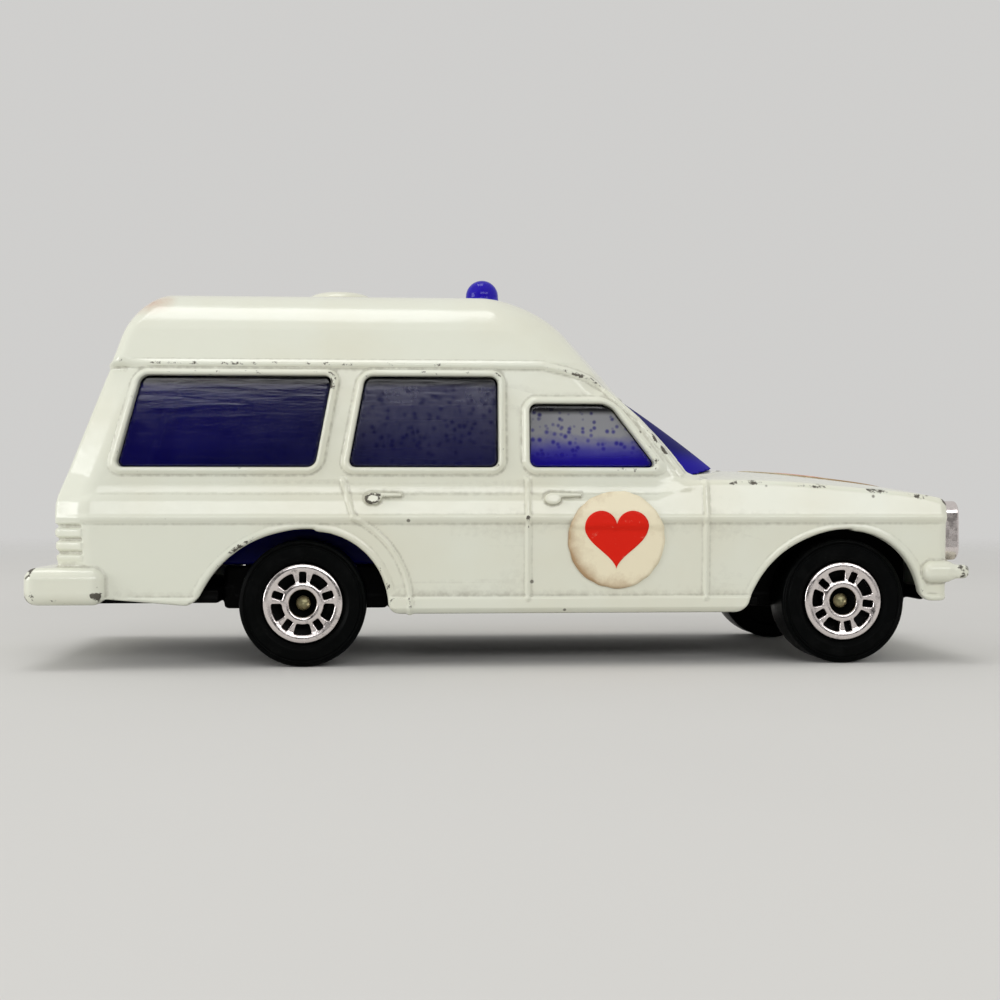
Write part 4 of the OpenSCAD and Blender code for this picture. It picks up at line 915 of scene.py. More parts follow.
def enamel():
    """Stoved enamel on a zinc die casting: thick, glossy and off-white, pooled at its edges,
    chipped to dull metal along the raised lines, with a grimy tone and painted shade in the inner corners."""
    c = shades()
    material, tree, shader, spot = new_material("stoved_enamel_on_zinc")
    edge = add(tree, "ShaderNodeAttribute", attribute_name="chip").outputs["Fac"]
    corner = add(tree, "ShaderNodeAttribute", attribute_name="corner").outputs["Fac"]
    patches = add(tree, NOISE, {"Vector": spot, "Scale": per_mm(9), "Detail": 3.0})
    flakes = add(tree, NOISE, {"Vector": spot, "Scale": per_mm(0.7), "Detail": 7.0, "Roughness": 0.7})
    specks = add(tree, NOISE, {"Vector": spot, "Scale": per_mm(0.45), "Detail": 4.0})
    worn = add(tree, MATH, {0: flakes.outputs["Fac"], 1: 1.25, 2: edge}, operation="MULTIPLY_ADD")
    rubs = add(tree, RANGE, {"Value": worn.outputs[0], 1: 1.21, 2: 1.27}, clamp=True)
    # Knocks have left specks about a quarter of a millimetre wide, some millimetres apart
    knocks = add(tree, "ShaderNodeTexVoronoi", {"Vector": spot, "Scale": per_mm(4)})
    specked = add(tree, RANGE, {"Value": knocks.outputs["Distance"], 1: 0.03, 2: 0.045, 3: 0.8, 4: 0.0},
                  clamp=True)
    chip = add(tree, MATH, {0: rubs.outputs[0], 1: specked.outputs[0]}, operation="MAXIMUM")
    # Painted shade with some soiling: inner corners and creases are darkened towards a grimy tone, broken up
    # by specks
    dirt_and_shade = add(tree, MATH, {0: specks.outputs["Fac"], 1: corner}, operation="MULTIPLY")
    dirt_and_shade_share = add(tree, RANGE, {"Value": dirt_and_shade.outputs[0], 1: 0.12, 2: 0.6, 4: 0.5}, clamp=True)
    age = add(tree, RANGE, {"Value": patches.outputs["Fac"], 1: 0.4, 2: 0.75}, clamp=True)
    tone = add(tree, MIX, {0: age.outputs[0], 6: c.enamel, 7: c.aged_enamel}, data_type="RGBA")
    # Another toy's red has rubbed off on the roof's rear right corner, over about two millimetres
    rub_place = Vector((-28.4, -9.2, 29.3)) * MM
    away = add(tree, "ShaderNodeVectorMath", {0: spot, 1: rub_place}, operation="DISTANCE")
    near = add(tree, RANGE, {"Value": away.outputs["Value"], 1: 0.3 * MM, 2: 2.2 * MM, 3: 0.9, 4: 0.0},
               clamp=True)
    rubbed = add(tree, MATH, {0: near.outputs[0], 1: flakes.outputs["Fac"]}, operation="MULTIPLY")
    tone = add(tree, MIX, {0: rubbed.outputs[0], 6: tone.outputs[2], 7: c.red_dirt}, data_type="RGBA")
    dull = add(tree, MIX, {0: dirt_and_shade_share.outputs[0], 6: tone.outputs[2], 7: c.grime_and_shade}, data_type="RGBA")
    final = add(tree, MIX, {0: chip.outputs[0], 6: dull.outputs[2], 7: c.bare_zinc}, data_type="RGBA")
    tree.links.new(final.outputs[2], shader.inputs["Base Color"])
    metal = add(tree, MATH, {0: chip.outputs[0], 1: 0.5}, operation="MULTIPLY")
    tree.links.new(metal.outputs[0], shader.inputs["Metallic"])
    gloss = add(tree, RANGE, {"Value": specks.outputs["Fac"], 1: 0.3, 2: 0.8, 3: 0.1, 4: 0.24})
    rough = add(tree, MATH, {0: chip.outputs[0], 1: 0.35, 2: gloss.outputs[0]}, operation="MULTIPLY_ADD")
    tree.links.new(rough.outputs[0], shader.inputs["Roughness"])
    shader.inputs["IOR"].default_value = 1.5
    # The paint's faint orange peel is about 1.6 mm wide; a chip sinks by the paint's thickness
    peel = add(tree, NOISE, {"Vector": spot, "Scale": per_mm(1.6), "Detail": 2.0})
    height = add(tree, MATH, {0: chip.outputs[0], 1: -1.2, 2: peel.outputs["Fac"]}, operation="MULTIPLY_ADD")
    bump = add(tree, BUMP, {"Height": height.outputs[0], "Strength": 0.5, "Distance": 0.03 * MM})
    tree.links.new(bump.outputs[0], shader.inputs["Normal"])
    return material


def tinted_plastic():
    """Clear polystyrene moulded in deep blue: glossy, see-through where light comes from behind,
    with painted light and painted shade on the panes, and fine scratches and dust that lighten it."""
    c = shades()
    material, tree, shader, spot = new_material("moulded_blue_polystyrene")
    film = add(tree, "ShaderNodeAttribute", attribute_name="film").outputs["Fac"]
    painted_glow = add(tree, "ShaderNodeAttribute", attribute_name="painted_glow").outputs["Fac"]
    dust = add(tree, NOISE, {"Vector": spot, "Scale": per_mm(2.6), "Detail": 8.0, "Roughness": 0.65})
    share = add(tree, RANGE, {"Value": dust.outputs["Fac"], 1: 0.35, 2: 0.8, 3: 0.05, 4: 0.12})
    tree.links.new(share.outputs[0], shader.inputs["Roughness"])
    even = add(tree, RANGE, {"Value": dust.outputs["Fac"], 1: 0.3, 2: 0.7, 3: 0.4, 4: 0.6}, clamp=True)
    # Painted light: a brighter blue is painted where light would shine through the moulding, the beacon
    # brightest
    tone = add(tree, MIX, {0: painted_glow, 6: c.glazing, 7: c.lit_glazing}, data_type="RGBA")
    # Droplets about half a millimetre wide have dried on the filmed panes
    drops = add(tree, "ShaderNodeTexVoronoi", {"Vector": spot, "Scale": per_mm(0.55)})
    spread = add(tree, RANGE, {"Value": drops.outputs["Distance"], 1: 0.15, 2: 0.45, 3: 0.35, 4: 1.0})
    veil = add(tree, MATH, {0: spread.outputs[0], 1: film}, operation="MULTIPLY")
    patchy = add(tree, MATH, {0: veil.outputs[0], 1: even.outputs[0]}, operation="MULTIPLY")
    filmed = add(tree, MIX, {0: patchy.outputs[0], 6: tone.outputs[2], 7: c.film}, data_type="RGBA")
    # The frames keep the light off the uppermost half millimetre of the side windows
    parts = add(tree, "ShaderNodeSeparateXYZ", {0: spot})
    ahead = add(tree, MATH, {0: parts.outputs["X"], 1: 1.2 * MM}, operation="GREATER_THAN")
    head = add(tree, MATH, {0: ahead.outputs[0], 1: -2.15 * MM, 2: 23 * MM}, operation="MULTIPLY_ADD")
    below = add(tree, MATH, {0: head.outputs[0], 1: parts.outputs["Z"]}, operation="SUBTRACT")
    aside = add(tree, MATH, {0: parts.outputs["Y"]}, operation="ABSOLUTE")
    outer = add(tree, MATH, {0: aside.outputs[0], 1: 11.2 * MM}, operation="GREATER_THAN")
    dim = add(tree, RANGE, {"Value": below.outputs[0], 1: 0.45 * MM, 2: 0.95 * MM, 3: 0.95, 4: 0.0},
              interpolation_type="SMOOTHSTEP")
    dimmed = add(tree, MATH, {0: dim.outputs[0], 1: outer.outputs[0]}, operation="MULTIPLY")
    black = (0.001, 0.001, 0.002, 1.0)
    seen = add(tree, MIX, {0: dimmed.outputs[0], 6: filmed.outputs[2], 7: black}, data_type="RGBA")
    tree.links.new(seen.outputs[2], shader.inputs["Base Color"])
    shader.inputs["IOR"].default_value = 1.45
    # Handling has rubbed the windscreen dull
    matt = add(tree, "ShaderNodeAttribute", attribute_name="matt").outputs["Fac"]
    sheen = add(tree, RANGE, {"Value": matt, 3: 0.4, 4: 0.0}, clamp=True)
    tree.links.new(sheen.outputs[0], shader.inputs["Specular IOR Level"])
    cloudy = add(tree, MATH, {0: patchy.outputs[0], 1: matt}, operation="MAXIMUM")
    clear = add(tree, RANGE, {"Value": cloudy.outputs[0], 3: 0.7, 4: 0.1}, clamp=True)
    tree.links.new(clear.outputs[0], shader.inputs["Transmission Weight"])
    stretch = add(tree, "ShaderNodeMapping",
                  {"Vector": spot, "Scale": (1.0, 1.0, 9.0), "Rotation": (0, 0.5, 0)})
    lines = add(tree, NOISE, {"Vector": stretch.outputs[0], "Scale": per_mm(4), "Detail": 6.0})
    bump = add(tree, BUMP, {"Height": lines.outputs["Fac"], "Strength": 0.25, "Distance": 0.02 * MM})
    tree.links.new(bump.outputs[0], shader.inputs["Normal"])
    return material


def black_plastic(name, tone, grain):
    """Moulded black plastic: satin, with scuffs that turn grey and a fine grain."""
    material, tree, shader, spot = new_material(name)
    scuff = add(tree, NOISE, {"Vector": spot, "Scale": per_mm(1.4), "Detail": 8.0, "Roughness": 0.7})
    share = add(tree, RANGE, {"Value": scuff.outputs["Fac"], 1: 0.5, 2: 0.85, 4: 0.5}, clamp=True)
    grey = tuple(v + 0.008 for v in tone[:3]) + (1.0,)
    shader.inputs["Specular IOR Level"].default_value = 0.04
    mix = add(tree, MIX, {0: share.outputs[0], 6: tone, 7: grey}, data_type="RGBA")
    tree.links.new(mix.outputs[2], shader.inputs["Base Color"])
    rough = add(tree, RANGE, {"Value": scuff.outputs["Fac"], 1: 0.3, 2: 0.8, 3: 0.3, 4: 0.55})
    tree.links.new(rough.outputs[0], shader.inputs["Roughness"])
    shader.inputs["IOR"].default_value = 1.5
    pits = add(tree, NOISE, {"Vector": spot, "Scale": per_mm(grain), "Detail": 3.0})
    bump = add(tree, BUMP, {"Height": pits.outputs["Fac"], "Strength": 0.3, "Distance": 0.02 * MM})
    tree.links.new(bump.outputs[0], shader.inputs["Normal"])
    return material


def plating(name, tone, worn_tone, gloss):
    """Bright metal film: mirror-like, rubbed dull and darker in patches."""
    material, tree, shader, spot = new_material(name)
    rub = add(tree, NOISE, {"Vector": spot, "Scale": per_mm(0.7), "Detail": 7.0, "Roughness": 0.7})
    share = add(tree, RANGE, {"Value": rub.outputs["Fac"], 1: 0.56, 2: 0.72, 4: 0.85}, clamp=True)
    mix = add(tree, MIX, {0: share.outputs[0], 6: tone, 7: worn_tone}, data_type="RGBA")
    tree.links.new(mix.outputs[2], shader.inputs["Base Color"])
    shader.inputs["Metallic"].default_value = 1.0
    rough = add(tree, RANGE, {"Value": rub.outputs["Fac"], 1: 0.4, 2: 0.75, 3: gloss, 4: gloss + 0.3})
    tree.links.new(rough.outputs[0], shader.inputs["Roughness"])
    bump = add(tree, BUMP, {"Height": rub.outputs["Fac"], "Strength": 0.3, "Distance": 0.02 * MM})
    tree.links.new(bump.outputs[0], shader.inputs["Normal"])
    return material


def label_paper():
    """Coated paper label: cream, matt, with brown stains that grow towards its rim."""
    c = shades()
    material, tree, shader, spot = new_material("coated_label_paper")
    rim = add(tree, "ShaderNodeAttribute", attribute_name="rim").outputs["Fac"]
    blots = add(tree, NOISE, {"Vector": spot, "Scale": per_mm(1.5), "Detail": 6.0, "Roughness": 0.65})
    sum_up = add(tree, MATH, {0: blots.outputs["Fac"], 1: rim}, operation="ADD")
    share = add(tree, RANGE, {"Value": sum_up.outputs[0], 1: 0.6, 2: 1.3, 4: 0.8}, clamp=True)
    mix = add(tree, MIX, {0: share.outputs[0], 6: c.paper, 7: c.stain}, data_type="RGBA")
    tree.links.new(mix.outputs[2], shader.inputs["Base Color"])
    shader.inputs["Roughness"].default_value = 0.55
    fibre = add(tree, NOISE, {"Vector": spot, "Scale": per_mm(0.35), "Detail": 4.0})
    bump = add(tree, BUMP, {"Height": fibre.outputs["Fac"], "Strength": 0.3, "Distance": 0.02 * MM})
    tree.links.new(bump.outputs[0], shader.inputs["Normal"])
    return material


def label_ink():
    """Red printing ink on coated paper: even, a little glossy, rubbed lighter in specks."""
    c = shades()
    material, tree, shader, spot = new_material("red_printing_ink")
    rub = add(tree, NOISE, {"Vector": spot, "Scale": per_mm(0.8), "Detail": 8.0, "Roughness": 0.7})
    share = add(tree, RANGE, {"Value": rub.outputs["Fac"], 1: 0.6, 2: 0.8, 4: 0.5}, clamp=True)
    mix = add(tree, MIX, {0: share.outputs[0], 6: c.ink, 7: c.paper}, data_type="RGBA")
    tree.links.new(mix.outputs[2], shader.inputs["Base Color"])
    shader.inputs["Roughness"].default_value = 0.45
    shader.inputs["Specular IOR Level"].default_value = 0.2
    return material


def floor_paper():
    """Plain uncoated paper: pale and matt, with a soft unevenness about 30 mm wide."""
    c = shades()
    material, tree, shader, spot = new_material("uncoated_paper")
    tone = add(tree, NOISE, {"Vector": spot, "Scale": per_mm(30), "Detail": 3.0})
    shade = tuple(v * 0.97 for v in c.floor[:3]) + (1.0,)
    mix = add(tree, MIX, {0: tone.outputs["Fac"], 6: c.floor, 7: shade}, data_type="RGBA")
    tree.links.new(mix.outputs[2], shader.inputs["Base Color"])
    shader.inputs["Roughness"].default_value = 0.9
    # The sheet fades into the even light beyond it, so that no horizon shows
    far = add(tree, "ShaderNodeVectorMath", {0: spot}, operation="LENGTH")
    fade = add(tree, RANGE, {"Value": far.outputs["Value"], 1: 0.12, 2: 0.45, 3: 1.0, 4: 0.0},
               interpolation_type="SMOOTHSTEP")
    tree.links.new(fade.outputs[0], shader.inputs["Alpha"])
    return material


def coat(obj, make):
    """Gives a piece its material, which is made for the first piece that needs it."""
    material = bpy.data.materials.get(make[0]) or make[1]()
    obj.data.materials.clear()
    obj.data.materials.append(material)


def finish(obj, make, slot, body, *nodes):
    """Gives a piece its material and the body that it rides, and hides the CAD nodes it stands for; slot is
    not used.
    """
    coat(obj, make)
    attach(obj, body)
    if nodes:
        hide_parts(*nodes)


# Each material's name and what makes it
ENAMEL = ("stoved_enamel_on_zinc", enamel)
BLUE = ("moulded_blue_polystyrene", tinted_plastic)
TYRE = ("moulded_black_polythene", lambda: black_plastic("moulded_black_polythene", shades().tyre, 0.5))
BASE = ("moulded_black_base", lambda: black_plastic("moulded_black_base", shades().base, 0.3))
FOIL = ("hot_stamped_foil", lambda: plating("hot_stamped_foil", shades().foil, (0.09, 0.08, 0.08, 1), 0.12))
CHROME = ("vacuum_plated_plastic",
          lambda: plating("vacuum_plated_plastic", shades().foil, (0.3, 0.3, 0.3, 1), 0.15))
BRASS = ("drawn_brass_wire", lambda: plating("drawn_brass_wire", shades().wire, (0.16, 0.13, 0.06, 1), 0.28))
ZINC = ("spun_zinc_rivet", lambda: plating("spun_zinc_rivet", shades().rivet, (0.12, 0.12, 0.12, 1), 0.3))
PAPER = ("coated_label_paper", label_paper)
INK = ("red_printing_ink", label_ink)

# Places where handling has worn the paint, as X, Z and reach in millimetres
WORN_PLACES = (
    (-37.1, 5.3, 1.8), (-37.2, 7.6, 1), (-31.9, 5.8, 1.4), (-8, 5.4, 0.7), (-3.5, 4.4, 1.5),
    (5.5, 4.4, 1), (13, 4.4, 1.2), (-28.5, 29.5, 2), (-26, 24, 1.6), (-21, 24, 1.2),
    (-10, 30.2, 4), (-15.5, 24.2, 0.8), (-5, 24, 1.4), (0, 23.9, 1), (6, 23, 1.6),
    (12.3, 17.5, 1.2), (19, 15.2, 2), (25, 14.8, 2), (30, 14.3, 1.6), (33.5, 13.8, 1.5),
    (-13.5, 22.5, 0.8), (1.7, 11.5, 0.6), (36.8, 7.6, 1.0), (35.9, 13.2, 0.8), (35.9, 9.4, 0.9),
    (-20.8, 9.2, 1), (-9.4, 5.6, 1), (-10.6, 13.4, 0.8),
)


def vertices_of(obj):
    """Places of a piece's vertices in millimetres, as X, Y and Z."""
    points = np.empty(len(obj.data.vertices) * 3)
    obj.data.vertices.foreach_get("co", points)
    return points.reshape(-1, 3).T / MM


def wear_down(obj):
    """Turns a painted piece's edges into chips, more of them where handling has worn it."""
    edge = np.empty(len(obj.data.vertices))
    obj.data.attributes["edge"].data.foreach_get("value", edge)
    x, _, z = vertices_of(obj)
    worn = np.zeros(len(edge))
    for px, pz, reach in WORN_PLACES:
        worn = np.maximum(worn, np.exp(-((x - px) ** 2 + (z - pz) ** 2) / reach ** 2))
    # The tail-lamps' ribs have kept their paint
    ribs = (x < -32.5) * (z > 8) * (z < 12.2)
    rubbed = 0.4 * edge + 0.36 * worn * ramp(edge, 0.15, 0.45)
    paint_values(obj, "chip", np.minimum(rubbed, 0.62) * (1 - 0.6 * ribs))


class AMBULANCE_OT_cast_body(bpy.types.Operator):
    """Makes the painted casting"""
    bl_idname = "ambulance.cast_body"
    bl_label = "Cast body"

    def execute(self, context):
        form = Casting()
        body = moulded("cast_body", form.body, SHELL_LOW, SHELL_HIGH, form.s.cell, 0.2)
        wear_down(body)
        finish(body, ENAMEL, "white_paint", "body", "body_shell")
        return {"FINISHED"}


class AMBULANCE_OT_base_plate(bpy.types.Operator):
    """Makes the black base plate"""
    bl_idname = "ambulance.base_plate"
    bl_label = "Base plate"

    def execute(self, context):
        form = Casting()
        base = moulded("base_plate", form.base, BASE_LOW, BASE_HIGH, form.s.cell * 1.3, 0.25)
        finish(base, BASE, "black_base", "body", "chassis_base")
        return {"FINISHED"}


class AMBULANCE_OT_rivets(bpy.types.Operator):
    """Makes the two spun rivets that hold the base"""
    bl_idname = "ambulance.rivets"
    bl_label = "Rivets"

    def execute(self, context):
        shank_r, head_r, shank_l, segments = 1.1, 1.9, 3.4, 40
        profile = [(0.02, shank_l), (shank_r - 0.15, shank_l), (shank_r, shank_l - 0.15), (shank_r, 0.5),
                   (head_r - 0.05, 0.48), (head_r, 0.3), (head_r - 0.2, 0.12),
                   (1.2, 0.02), (0.7, 0.1), (0.02, 0.16)]
        turns = np.linspace(0, 2 * math.pi, segments, endpoint=False)
        points, faces = [], []
        for x, z in rivet_places():
            first = len(points)
            last = first + (len(profile) - 1) * segments
            points += [(x + r * math.cos(t), r * math.sin(t), z + w) for r, w in profile for t in turns]
            for row in range(first, last, segments):
                below = row + segments
                for j in range(segments):
                    k = (j + 1) % segments
                    faces.append([below + j, below + k, row + k, row + j])
            faces.append([first + j for j in range(segments)])
            faces.append([last + j for j in reversed(range(segments))])
        rivets = new_object("spun_rivets", points, faces)
        finish(rivets, ZINC, "rivet_metal", "body", "base_rivets")
        return {"FINISHED"}


class AMBULANCE_OT_window_moulding(bpy.types.Operator):
    """Makes the blue window moulding with its beacon"""
    bl_idname = "ambulance.window_moulding"
    bl_label = "Window moulding"

    def execute(self, context):
        form = Casting()
        glass = moulded("window_moulding", form.glass, GLASS_LOW, GLASS_HIGH, form.s.cell * 1.2, 0.25)
        x, y, z = vertices_of(glass)
        # The rear door's panes are dusty, the front doors' carry dried droplets in their upper halves
        dusty = 0.7 * (x > BAY_POST_X) * (x < DOOR_POST_X) * (0.3 + 0.7 * ramp(z, 15.5, 22))
        wetted = 2.2 * (x > DOOR_POST_X) * ramp(z, 16.2, 18.8)
        scratched = 0.12 * (x < BAY_POST_X) * ramp(x + 0.8 * (z - 19), -24, -15)
        s = form.s
        side_w = course(z, (s.belt_z, s.rail_z), (s.cabin_foot_w, s.cabin_rail_w))
        beside = np.abs(y) > side_w - 1.2
        paint_values(glass, "film", (dusty + wetted + scratched) * beside * (z < s.rail_z))
        # Painted light: a brighter blue where light would come through the beacon, the lower door windows,
        # the screen's foot and the bay's rear end
        doors = beside * (x > DOOR_POST_X) * (1 - 0.75 * ramp(z, 16.5, 20))
        ahead = ~beside * (x > s.fall_x) * (z < s.brow_z + 0.6)
        screen = 0.35 * ahead * (1 - ramp(z, 16, 17.6))
        bay = 0.16 * (x < BAY_POST_X) * ramp(-x, 22, 30)
        beacon = z > s.roof_z
        paint_values(glass, "painted_glow", np.where(beacon, 0.65, bay + doors + screen))
        paint_values(glass, "matt", np.where(beacon, 0.7, ahead))
        finish(glass, BLUE, "blue_plastic", "body", "window_unit")
        return {"FINISHED"}


class AMBULANCE_OT_patient_tray(bpy.types.Operator):
    """Makes the tray of the patient bay"""
    bl_idname = "ambulance.patient_tray"
    bl_label = "Patient tray"

    def execute(self, context):
        form = Casting()
        tray = moulded("patient_tray", form.tray, TRAY_LOW, TRAY_HIGH, form.s.cell * 1.6, 0.25)
        paint_values(tray, "matt", np.ones(len(tray.data.vertices)))
        finish(tray, BLUE, "blue_plastic", "body", "interior_tray")
        return {"FINISHED"}


class AMBULANCE_OT_tailgate(bpy.types.Operator):
    """Makes the tailgate and its window"""
    bl_idname = "ambulance.tailgate"
    bl_label = "Tailgate"

    def execute(self, context):
        form = Casting()
        gate = moulded("lifting_tailgate", form.gate, GATE_LOW, GATE_HIGH, form.s.cell, 0.3)
        wear_down(gate)
        finish(gate, ENAMEL, "white_paint", "tailgate_body", "tailgate")
        pane = moulded("tailgate_pane", form.gate_glass, GATE_PANE_LOW, GATE_PANE_HIGH, form.s.cell, 0.3)
        finish(pane, BLUE, "blue_plastic", "tailgate_body", "tailgate_window")
        return {"FINISHED"}


class AMBULANCE_OT_front_trim(bpy.types.Operator):
    """Makes the plated grille and headlamps"""
    bl_idname = "ambulance.front_trim"
    bl_label = "Grille and headlamps"

    def execute(self, context):
        form = Casting()
        cell, margin = form.s.cell * 0.6, form.s.lamp_more
        grille = moulded("bar_grille", form.grille, GRILLE_LOW, GRILLE_HIGH, cell, 0.4)
        finish(grille, CHROME, "plated_plastic", "body", "grille")
        lamps = moulded("fluted_headlamps", form.lamps, LAMP_LOW - margin, LAMP_HIGH + margin, cell, 0.4)
        finish(lamps, CHROME, "plated_plastic", "body", "headlamps")
        return {"FINISHED"}


class AMBULANCE_OT_wheels(bpy.types.Operator):
    """Makes the four black wheels"""
    bl_idname = "ambulance.wheels"
    bl_label = "Wheels"

    def execute(self, context):
        s = sizes()
        for axle in AXLES:
            for side, sign in SIDES:
                node = f"{axle}_{side}_wheel"
                low, high = node_box(node)
                r = (high[2] - low[2]) / 2
                face = high[1] if sign > 0 else low[1]
                back, bore, boss_r = high[1] - low[1], 0.47, 1.69
                width, wall = 4.2, 1.2
                hollow = wall - width
                # A fine moulded line runs round the tyre's outer face
                line = [(4.66, 0, 0.03), (4.6, -0.07, 0.03), (4.5, -0.07, 0.03), (4.44, 0, 0.03)]
                corners = [(bore, -back, 0), (boss_r, -back, 0.1), (boss_r, hollow, 0.15),
                           (r - wall, hollow, 0.15), (r - wall, -width, 0.15), (r, -width, 0.4),
                           (r, 0, 0.35), *line, (s.dish_r + 0.45, 0, 0.12), (s.dish_r, -0.3, 0.1),
                           (s.dish_r, -s.dish_depth, 0.05), (bore, -s.dish_depth - 0.1, 0)]
                place = ((low[0] + high[0]) / 2, face, (low[2] + high[2]) / 2)
                profile = filleted(corners)
                tyre = lathe(f"{axle}_{side}_tyre", profile + profile[:1], 96, place, sign)
                finish(tyre, TYRE, "black_plastic", f"{node}_body", node)
        return {"FINISHED"}


class AMBULANCE_OT_hub_trims(bpy.types.Operator):
    """Makes the four bright hub trims"""
    bl_idname = "ambulance.hub_trims"
    bl_label = "Hub trims"

    def execute(self, context):
        form = Casting()
        s = form.s
        cell = 0.055
        start, end = (-s.dish_r, -s.dish_r, -s.dish_depth), (s.dish_r, s.dish_r, 0.1)
        for axle, turn in (("front", 66), ("rear", 90)):
            def field(u, v, w):
                return form.hub(u, v, w, turn)

            points, faces = surface(field, start, end, cell, False)
            points, faces = thinned(points, faces, 0.35)
            normals, _ = slope(field, points, 0.02)
            for side, sign in SIDES:
                node = f"{axle}_{side}_hub"
                low, high = node_box(node)
                face = (high[1] if sign > 0 else low[1]) - sign * s.fit_gap
                place = ((low[0] + high[0]) / 2, face, (low[2] + high[2]) / 2)
                turned = points[:, [0, 2, 1]] * (1, sign, 1) + place
                rim = new_object(f"{axle}_{side}_trim", turned, faces if sign < 0 else faces[:, ::-1],
                                 normals[:, [0, 2, 1]] * (1, sign, 1))
                finish(rim, FOIL, "hub_plating", f"{axle}_{side}_wheel_body", node)
        return {"FINISHED"}


class AMBULANCE_OT_axles(bpy.types.Operator):
    """Gives the CAD axles their wire finish"""
    bl_idname = "ambulance.axles"
    bl_label = "Axles"

    def execute(self, context):
        for axle in AXLES:
            coat(frame["nodes"][f"{axle}_axle"], BRASS)
        return {"FINISHED"}


def heart(t):
    """A plain heart, one unit from its middle to its side."""
    up = 13 * math.cos(t) - 5 * math.cos(2 * t) - 2 * math.cos(3 * t) - math.cos(4 * t)
    return math.sin(t) ** 3, (up + 2.5) / 16


def disc(name, outline, lift, bottom, top, rings=14, segments=120):
    """A thin closed sheet that follows a surface. Outline gives its rim, lift the surface's place."""
    turns = np.linspace(0, 2 * math.pi, segments, endpoint=False)
    rim_points = np.array([outline(t) for t in turns])
    shares = np.linspace(0, 1, rings + 1)[1:]
    flat = np.concatenate([[(0, 0)]] + [rim_points * share for share in shares])
    # Hands have stained the rim most at its lower left
    stained = 0.82 + 0.18 * np.cos(turns - math.radians(215))
    rim = np.concatenate([[0]] + [stained * share for share in shares])
    points = [lift(u, v, top) for u, v in flat] + [lift(u, v, bottom) for u, v in flat]
    count, faces = len(flat), []
    for j in range(segments):
        k = (j + 1) % segments
        faces.append([0, 1 + j, 1 + k])
        faces.append([count, count + 1 + k, count + 1 + j])
        for i in range(rings - 1):
            a, b = 1 + i * segments, 1 + (i + 1) * segments
            faces.append([a + j, b + j, b + k, a + k])
            faces.append([count + a + k, count + b + k, count + b + j, count + a + j])
        last = 1 + (rings - 1) * segments
        faces.append([last + j, count + last + j, count + last + k, last + k])
    obj = new_object(name, points, faces)
    paint_values(obj, "rim", np.concatenate([rim, rim]) ** 6)
    return obj


class AMBULANCE_OT_labels(bpy.types.Operator):
    """Makes the paper labels on the doors and the bonnet, each with a printed heart"""
    bl_idname = "ambulance.labels"
    bl_label = "Labels"

    def execute(self, context):
        form = Casting()
        s = form.s
        draw = np.random.default_rng(SEED)
        waves = [(n, draw.uniform(0.001, 0.006), draw.uniform(0, 6.3)) for n in (3, 5, 7, 11, 17, 23)]

        def ragged(r):
            def rim(t):
                wave = sum(a * math.sin(n * t + p) for n, a, p in waves)
                return r * (1 + wave) * np.array((math.cos(t), math.sin(t)))
            return rim

        def label(name, heart_name, node, r, lift, ink_t):
            paper = disc(name, ragged(r), lift, 0.0, s.label_t)
            finish(paper, PAPER, "label_paper", "body", node)
            ink = disc(heart_name, lambda t: np.array(heart(-t)) * 0.66 * r, lift,
                       s.label_t - 0.01, s.label_t + ink_t)
            finish(ink, INK, "label_paper", "body")

        for side, sign in SIDES:
            node = f"door_label_{side}"
            low, high = node_box(node)
            cx, cz = (low[0] + high[0]) / 2, (low[2] + high[2]) / 2
            r = (high[0] - low[0]) / 2

            # The paper bridges the crease instead of following it sharply
            def on_door(u, v, out):
                half = max(float(form.tub_half(cz + v + near)) for near in (-0.5, -0.25, 0, 0.25, 0.5))
                return cx - sign * u, sign * (half + out), cz + v

            label(f"{side}_door_label", f"{side}_door_heart", node, r, on_door, 0.035)
        low, high = node_box("bonnet_label")
        cx, r = (low[0] + high[0]) / 2, (high[0] - low[0]) / 2

        def on_bonnet(u, v, out):
            return cx - v, u, form.deck(cx - v, u) + out

        label("bonnet_roundel", "bonnet_heart", "bonnet_label", r, on_bonnet, 0.02)
        return {"FINISHED"}


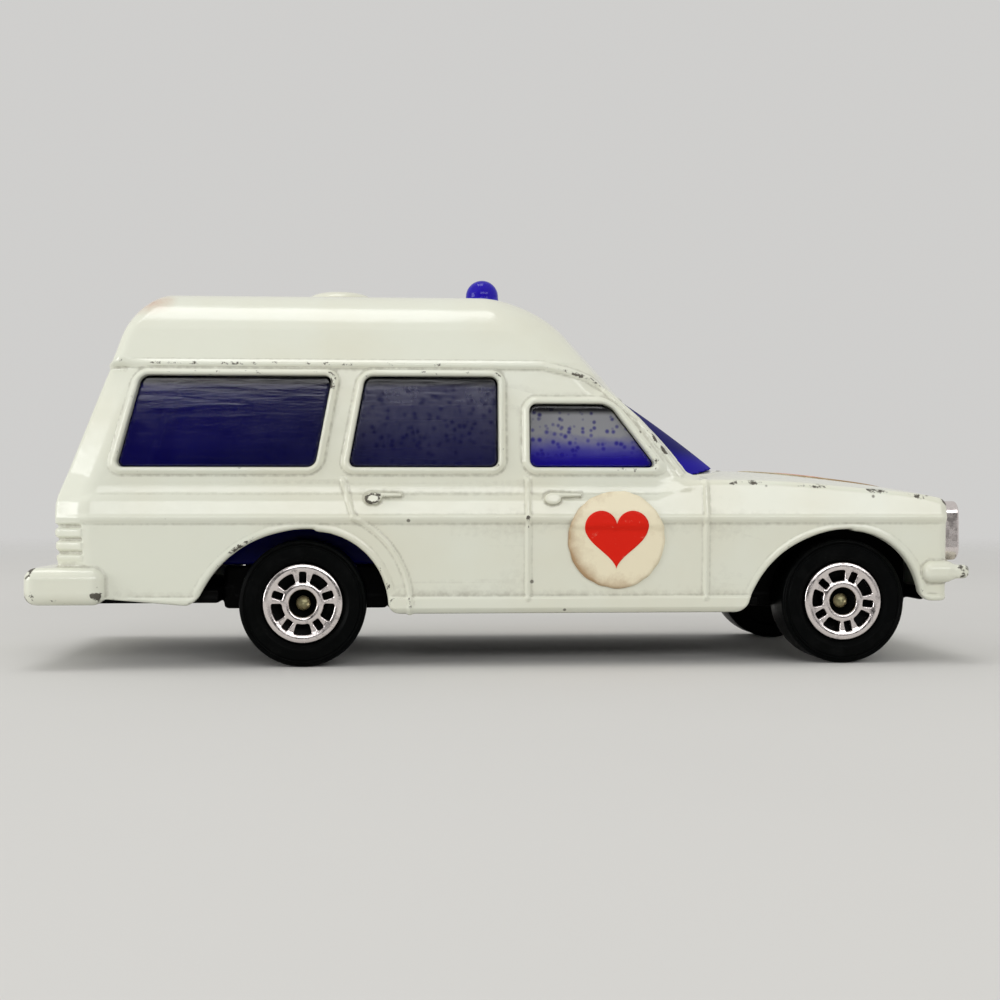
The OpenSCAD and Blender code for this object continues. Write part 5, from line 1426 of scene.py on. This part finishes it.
class AMBULANCE_OT_stage(bpy.types.Operator):
    """Makes the floor, the light and the camera"""
    bl_idname = "ambulance.stage"
    bl_label = "Stage"

    def execute(self, context):
        reach = 3.0
        mesh = bpy.data.meshes.new("floor")
        mesh.from_pydata([(-reach, -reach, 0), (reach, -reach, 0), (reach, reach, 0), (-reach, reach, 0)], [],
                         [(0, 1, 2, 3)])
        floor = bpy.data.objects.new("floor", mesh)
        context.collection.objects.link(floor)
        floor.data.materials.append(floor_paper())
        world = bpy.data.worlds.new("studio")
        context.scene.world = world
        world.use_nodes = True
        tree = world.node_tree
        backing = tree.nodes["Background"]
        # The room behind the camera is dimmer than the paper behind the toy
        where = add(tree, "ShaderNodeTexCoord").outputs["Generated"]
        parts = add(tree, "ShaderNodeSeparateXYZ", {0: where})
        glow = add(tree, RANGE, {"Value": parts.outputs["Y"], 1: -0.99, 2: -0.5, 3: 0.04, 4: 0.68},
                   interpolation_type="SMOOTHSTEP")
        tree.links.new(glow.outputs[0], backing.inputs["Strength"])
        backing.inputs["Color"].default_value = (*linear("F6F5F3"), 1)
        # Name, place, width and height in metres, and watts of each light
        lights = (("overhead", (-0.08, 0.02, 0.6), 0.26, 0.26, 0.75),
                  ("strip", (0.12, -0.55, 0.26), 0.6, 0.15, 1.25),
                  ("rear", (-0.5, -0.17, 0.12), 0.22, 0.22, 0.8))
        for name, place, wide, tall, watts in lights:
            data = bpy.data.lights.new(name, "AREA")
            data.shape = "RECTANGLE"
            data.size = wide
            data.size_y = tall
            data.energy = watts
            lamp = bpy.data.objects.new(name, data)
            lamp.location = place
            lamp.rotation_mode = "QUATERNION"
            lamp.rotation_quaternion = (Vector((0, 0, 0.015)) - Vector(place)).to_track_quat("-Z", "Y")
            context.collection.objects.link(lamp)
        data = bpy.data.cameras.new("camera")
        data.lens, data.sensor_width = 54, 36
        data.clip_start, data.clip_end = 0.005, 20
        camera = bpy.data.objects.new("camera", data)
        camera.location = Vector((-8.8, -132.2, 13.15)) * MM
        camera.rotation_mode = "QUATERNION"
        camera.rotation_quaternion = Vector((0.0698, 0.9976, 0)).to_track_quat("-Z", "Y")
        context.collection.objects.link(camera)
        context.scene.camera = camera
        context.scene.view_settings.view_transform = "Standard"
        return {"FINISHED"}


OPERATORS = (AMBULANCE_OT_stage, AMBULANCE_OT_cast_body, AMBULANCE_OT_base_plate, AMBULANCE_OT_rivets,
             AMBULANCE_OT_window_moulding, AMBULANCE_OT_patient_tray, AMBULANCE_OT_tailgate,
             AMBULANCE_OT_front_trim, AMBULANCE_OT_wheels, AMBULANCE_OT_hub_trims, AMBULANCE_OT_axles,
             AMBULANCE_OT_labels)


class AMBULANCE_PT_panel(bpy.types.Panel):
    """Lists the steps, the sizes and the colours"""
    bl_idname = "AMBULANCE_PT_panel"
    bl_label = "Toy ambulance"
    bl_space_type = "VIEW_3D"
    bl_region_type = "UI"
    bl_category = "Ambulance"

    def draw(self, context):
        for operator in OPERATORS:
            self.layout.operator(operator.bl_idname)
        for group in (context.scene.ambulance_sizes, context.scene.ambulance_colours):
            box = self.layout.box()
            for key in group.__annotations__:
                box.prop(group, key)


CLASSES = (AmbulanceSizes, AmbulanceColours, *OPERATORS, AMBULANCE_PT_panel)


def register():
    """Makes the classes known to Blender and gives the scene its sizes and colours."""
    for cls in CLASSES:
        bpy.utils.register_class(cls)
    bpy.types.Scene.ambulance_sizes = bpy.props.PointerProperty(type=AmbulanceSizes)
    bpy.types.Scene.ambulance_colours = bpy.props.PointerProperty(type=AmbulanceColours)


def unregister():
    """Takes all of it back."""
    del bpy.types.Scene.ambulance_colours
    del bpy.types.Scene.ambulance_sizes
    for cls in reversed(CLASSES):
        bpy.utils.unregister_class(cls)


def main():
    """Builds every piece."""
    register()
    for operator in OPERATORS:
        family, name = operator.bl_idname.split(".")
        getattr(getattr(bpy.ops, family), name)()


if __name__ == "__main__":
    main()
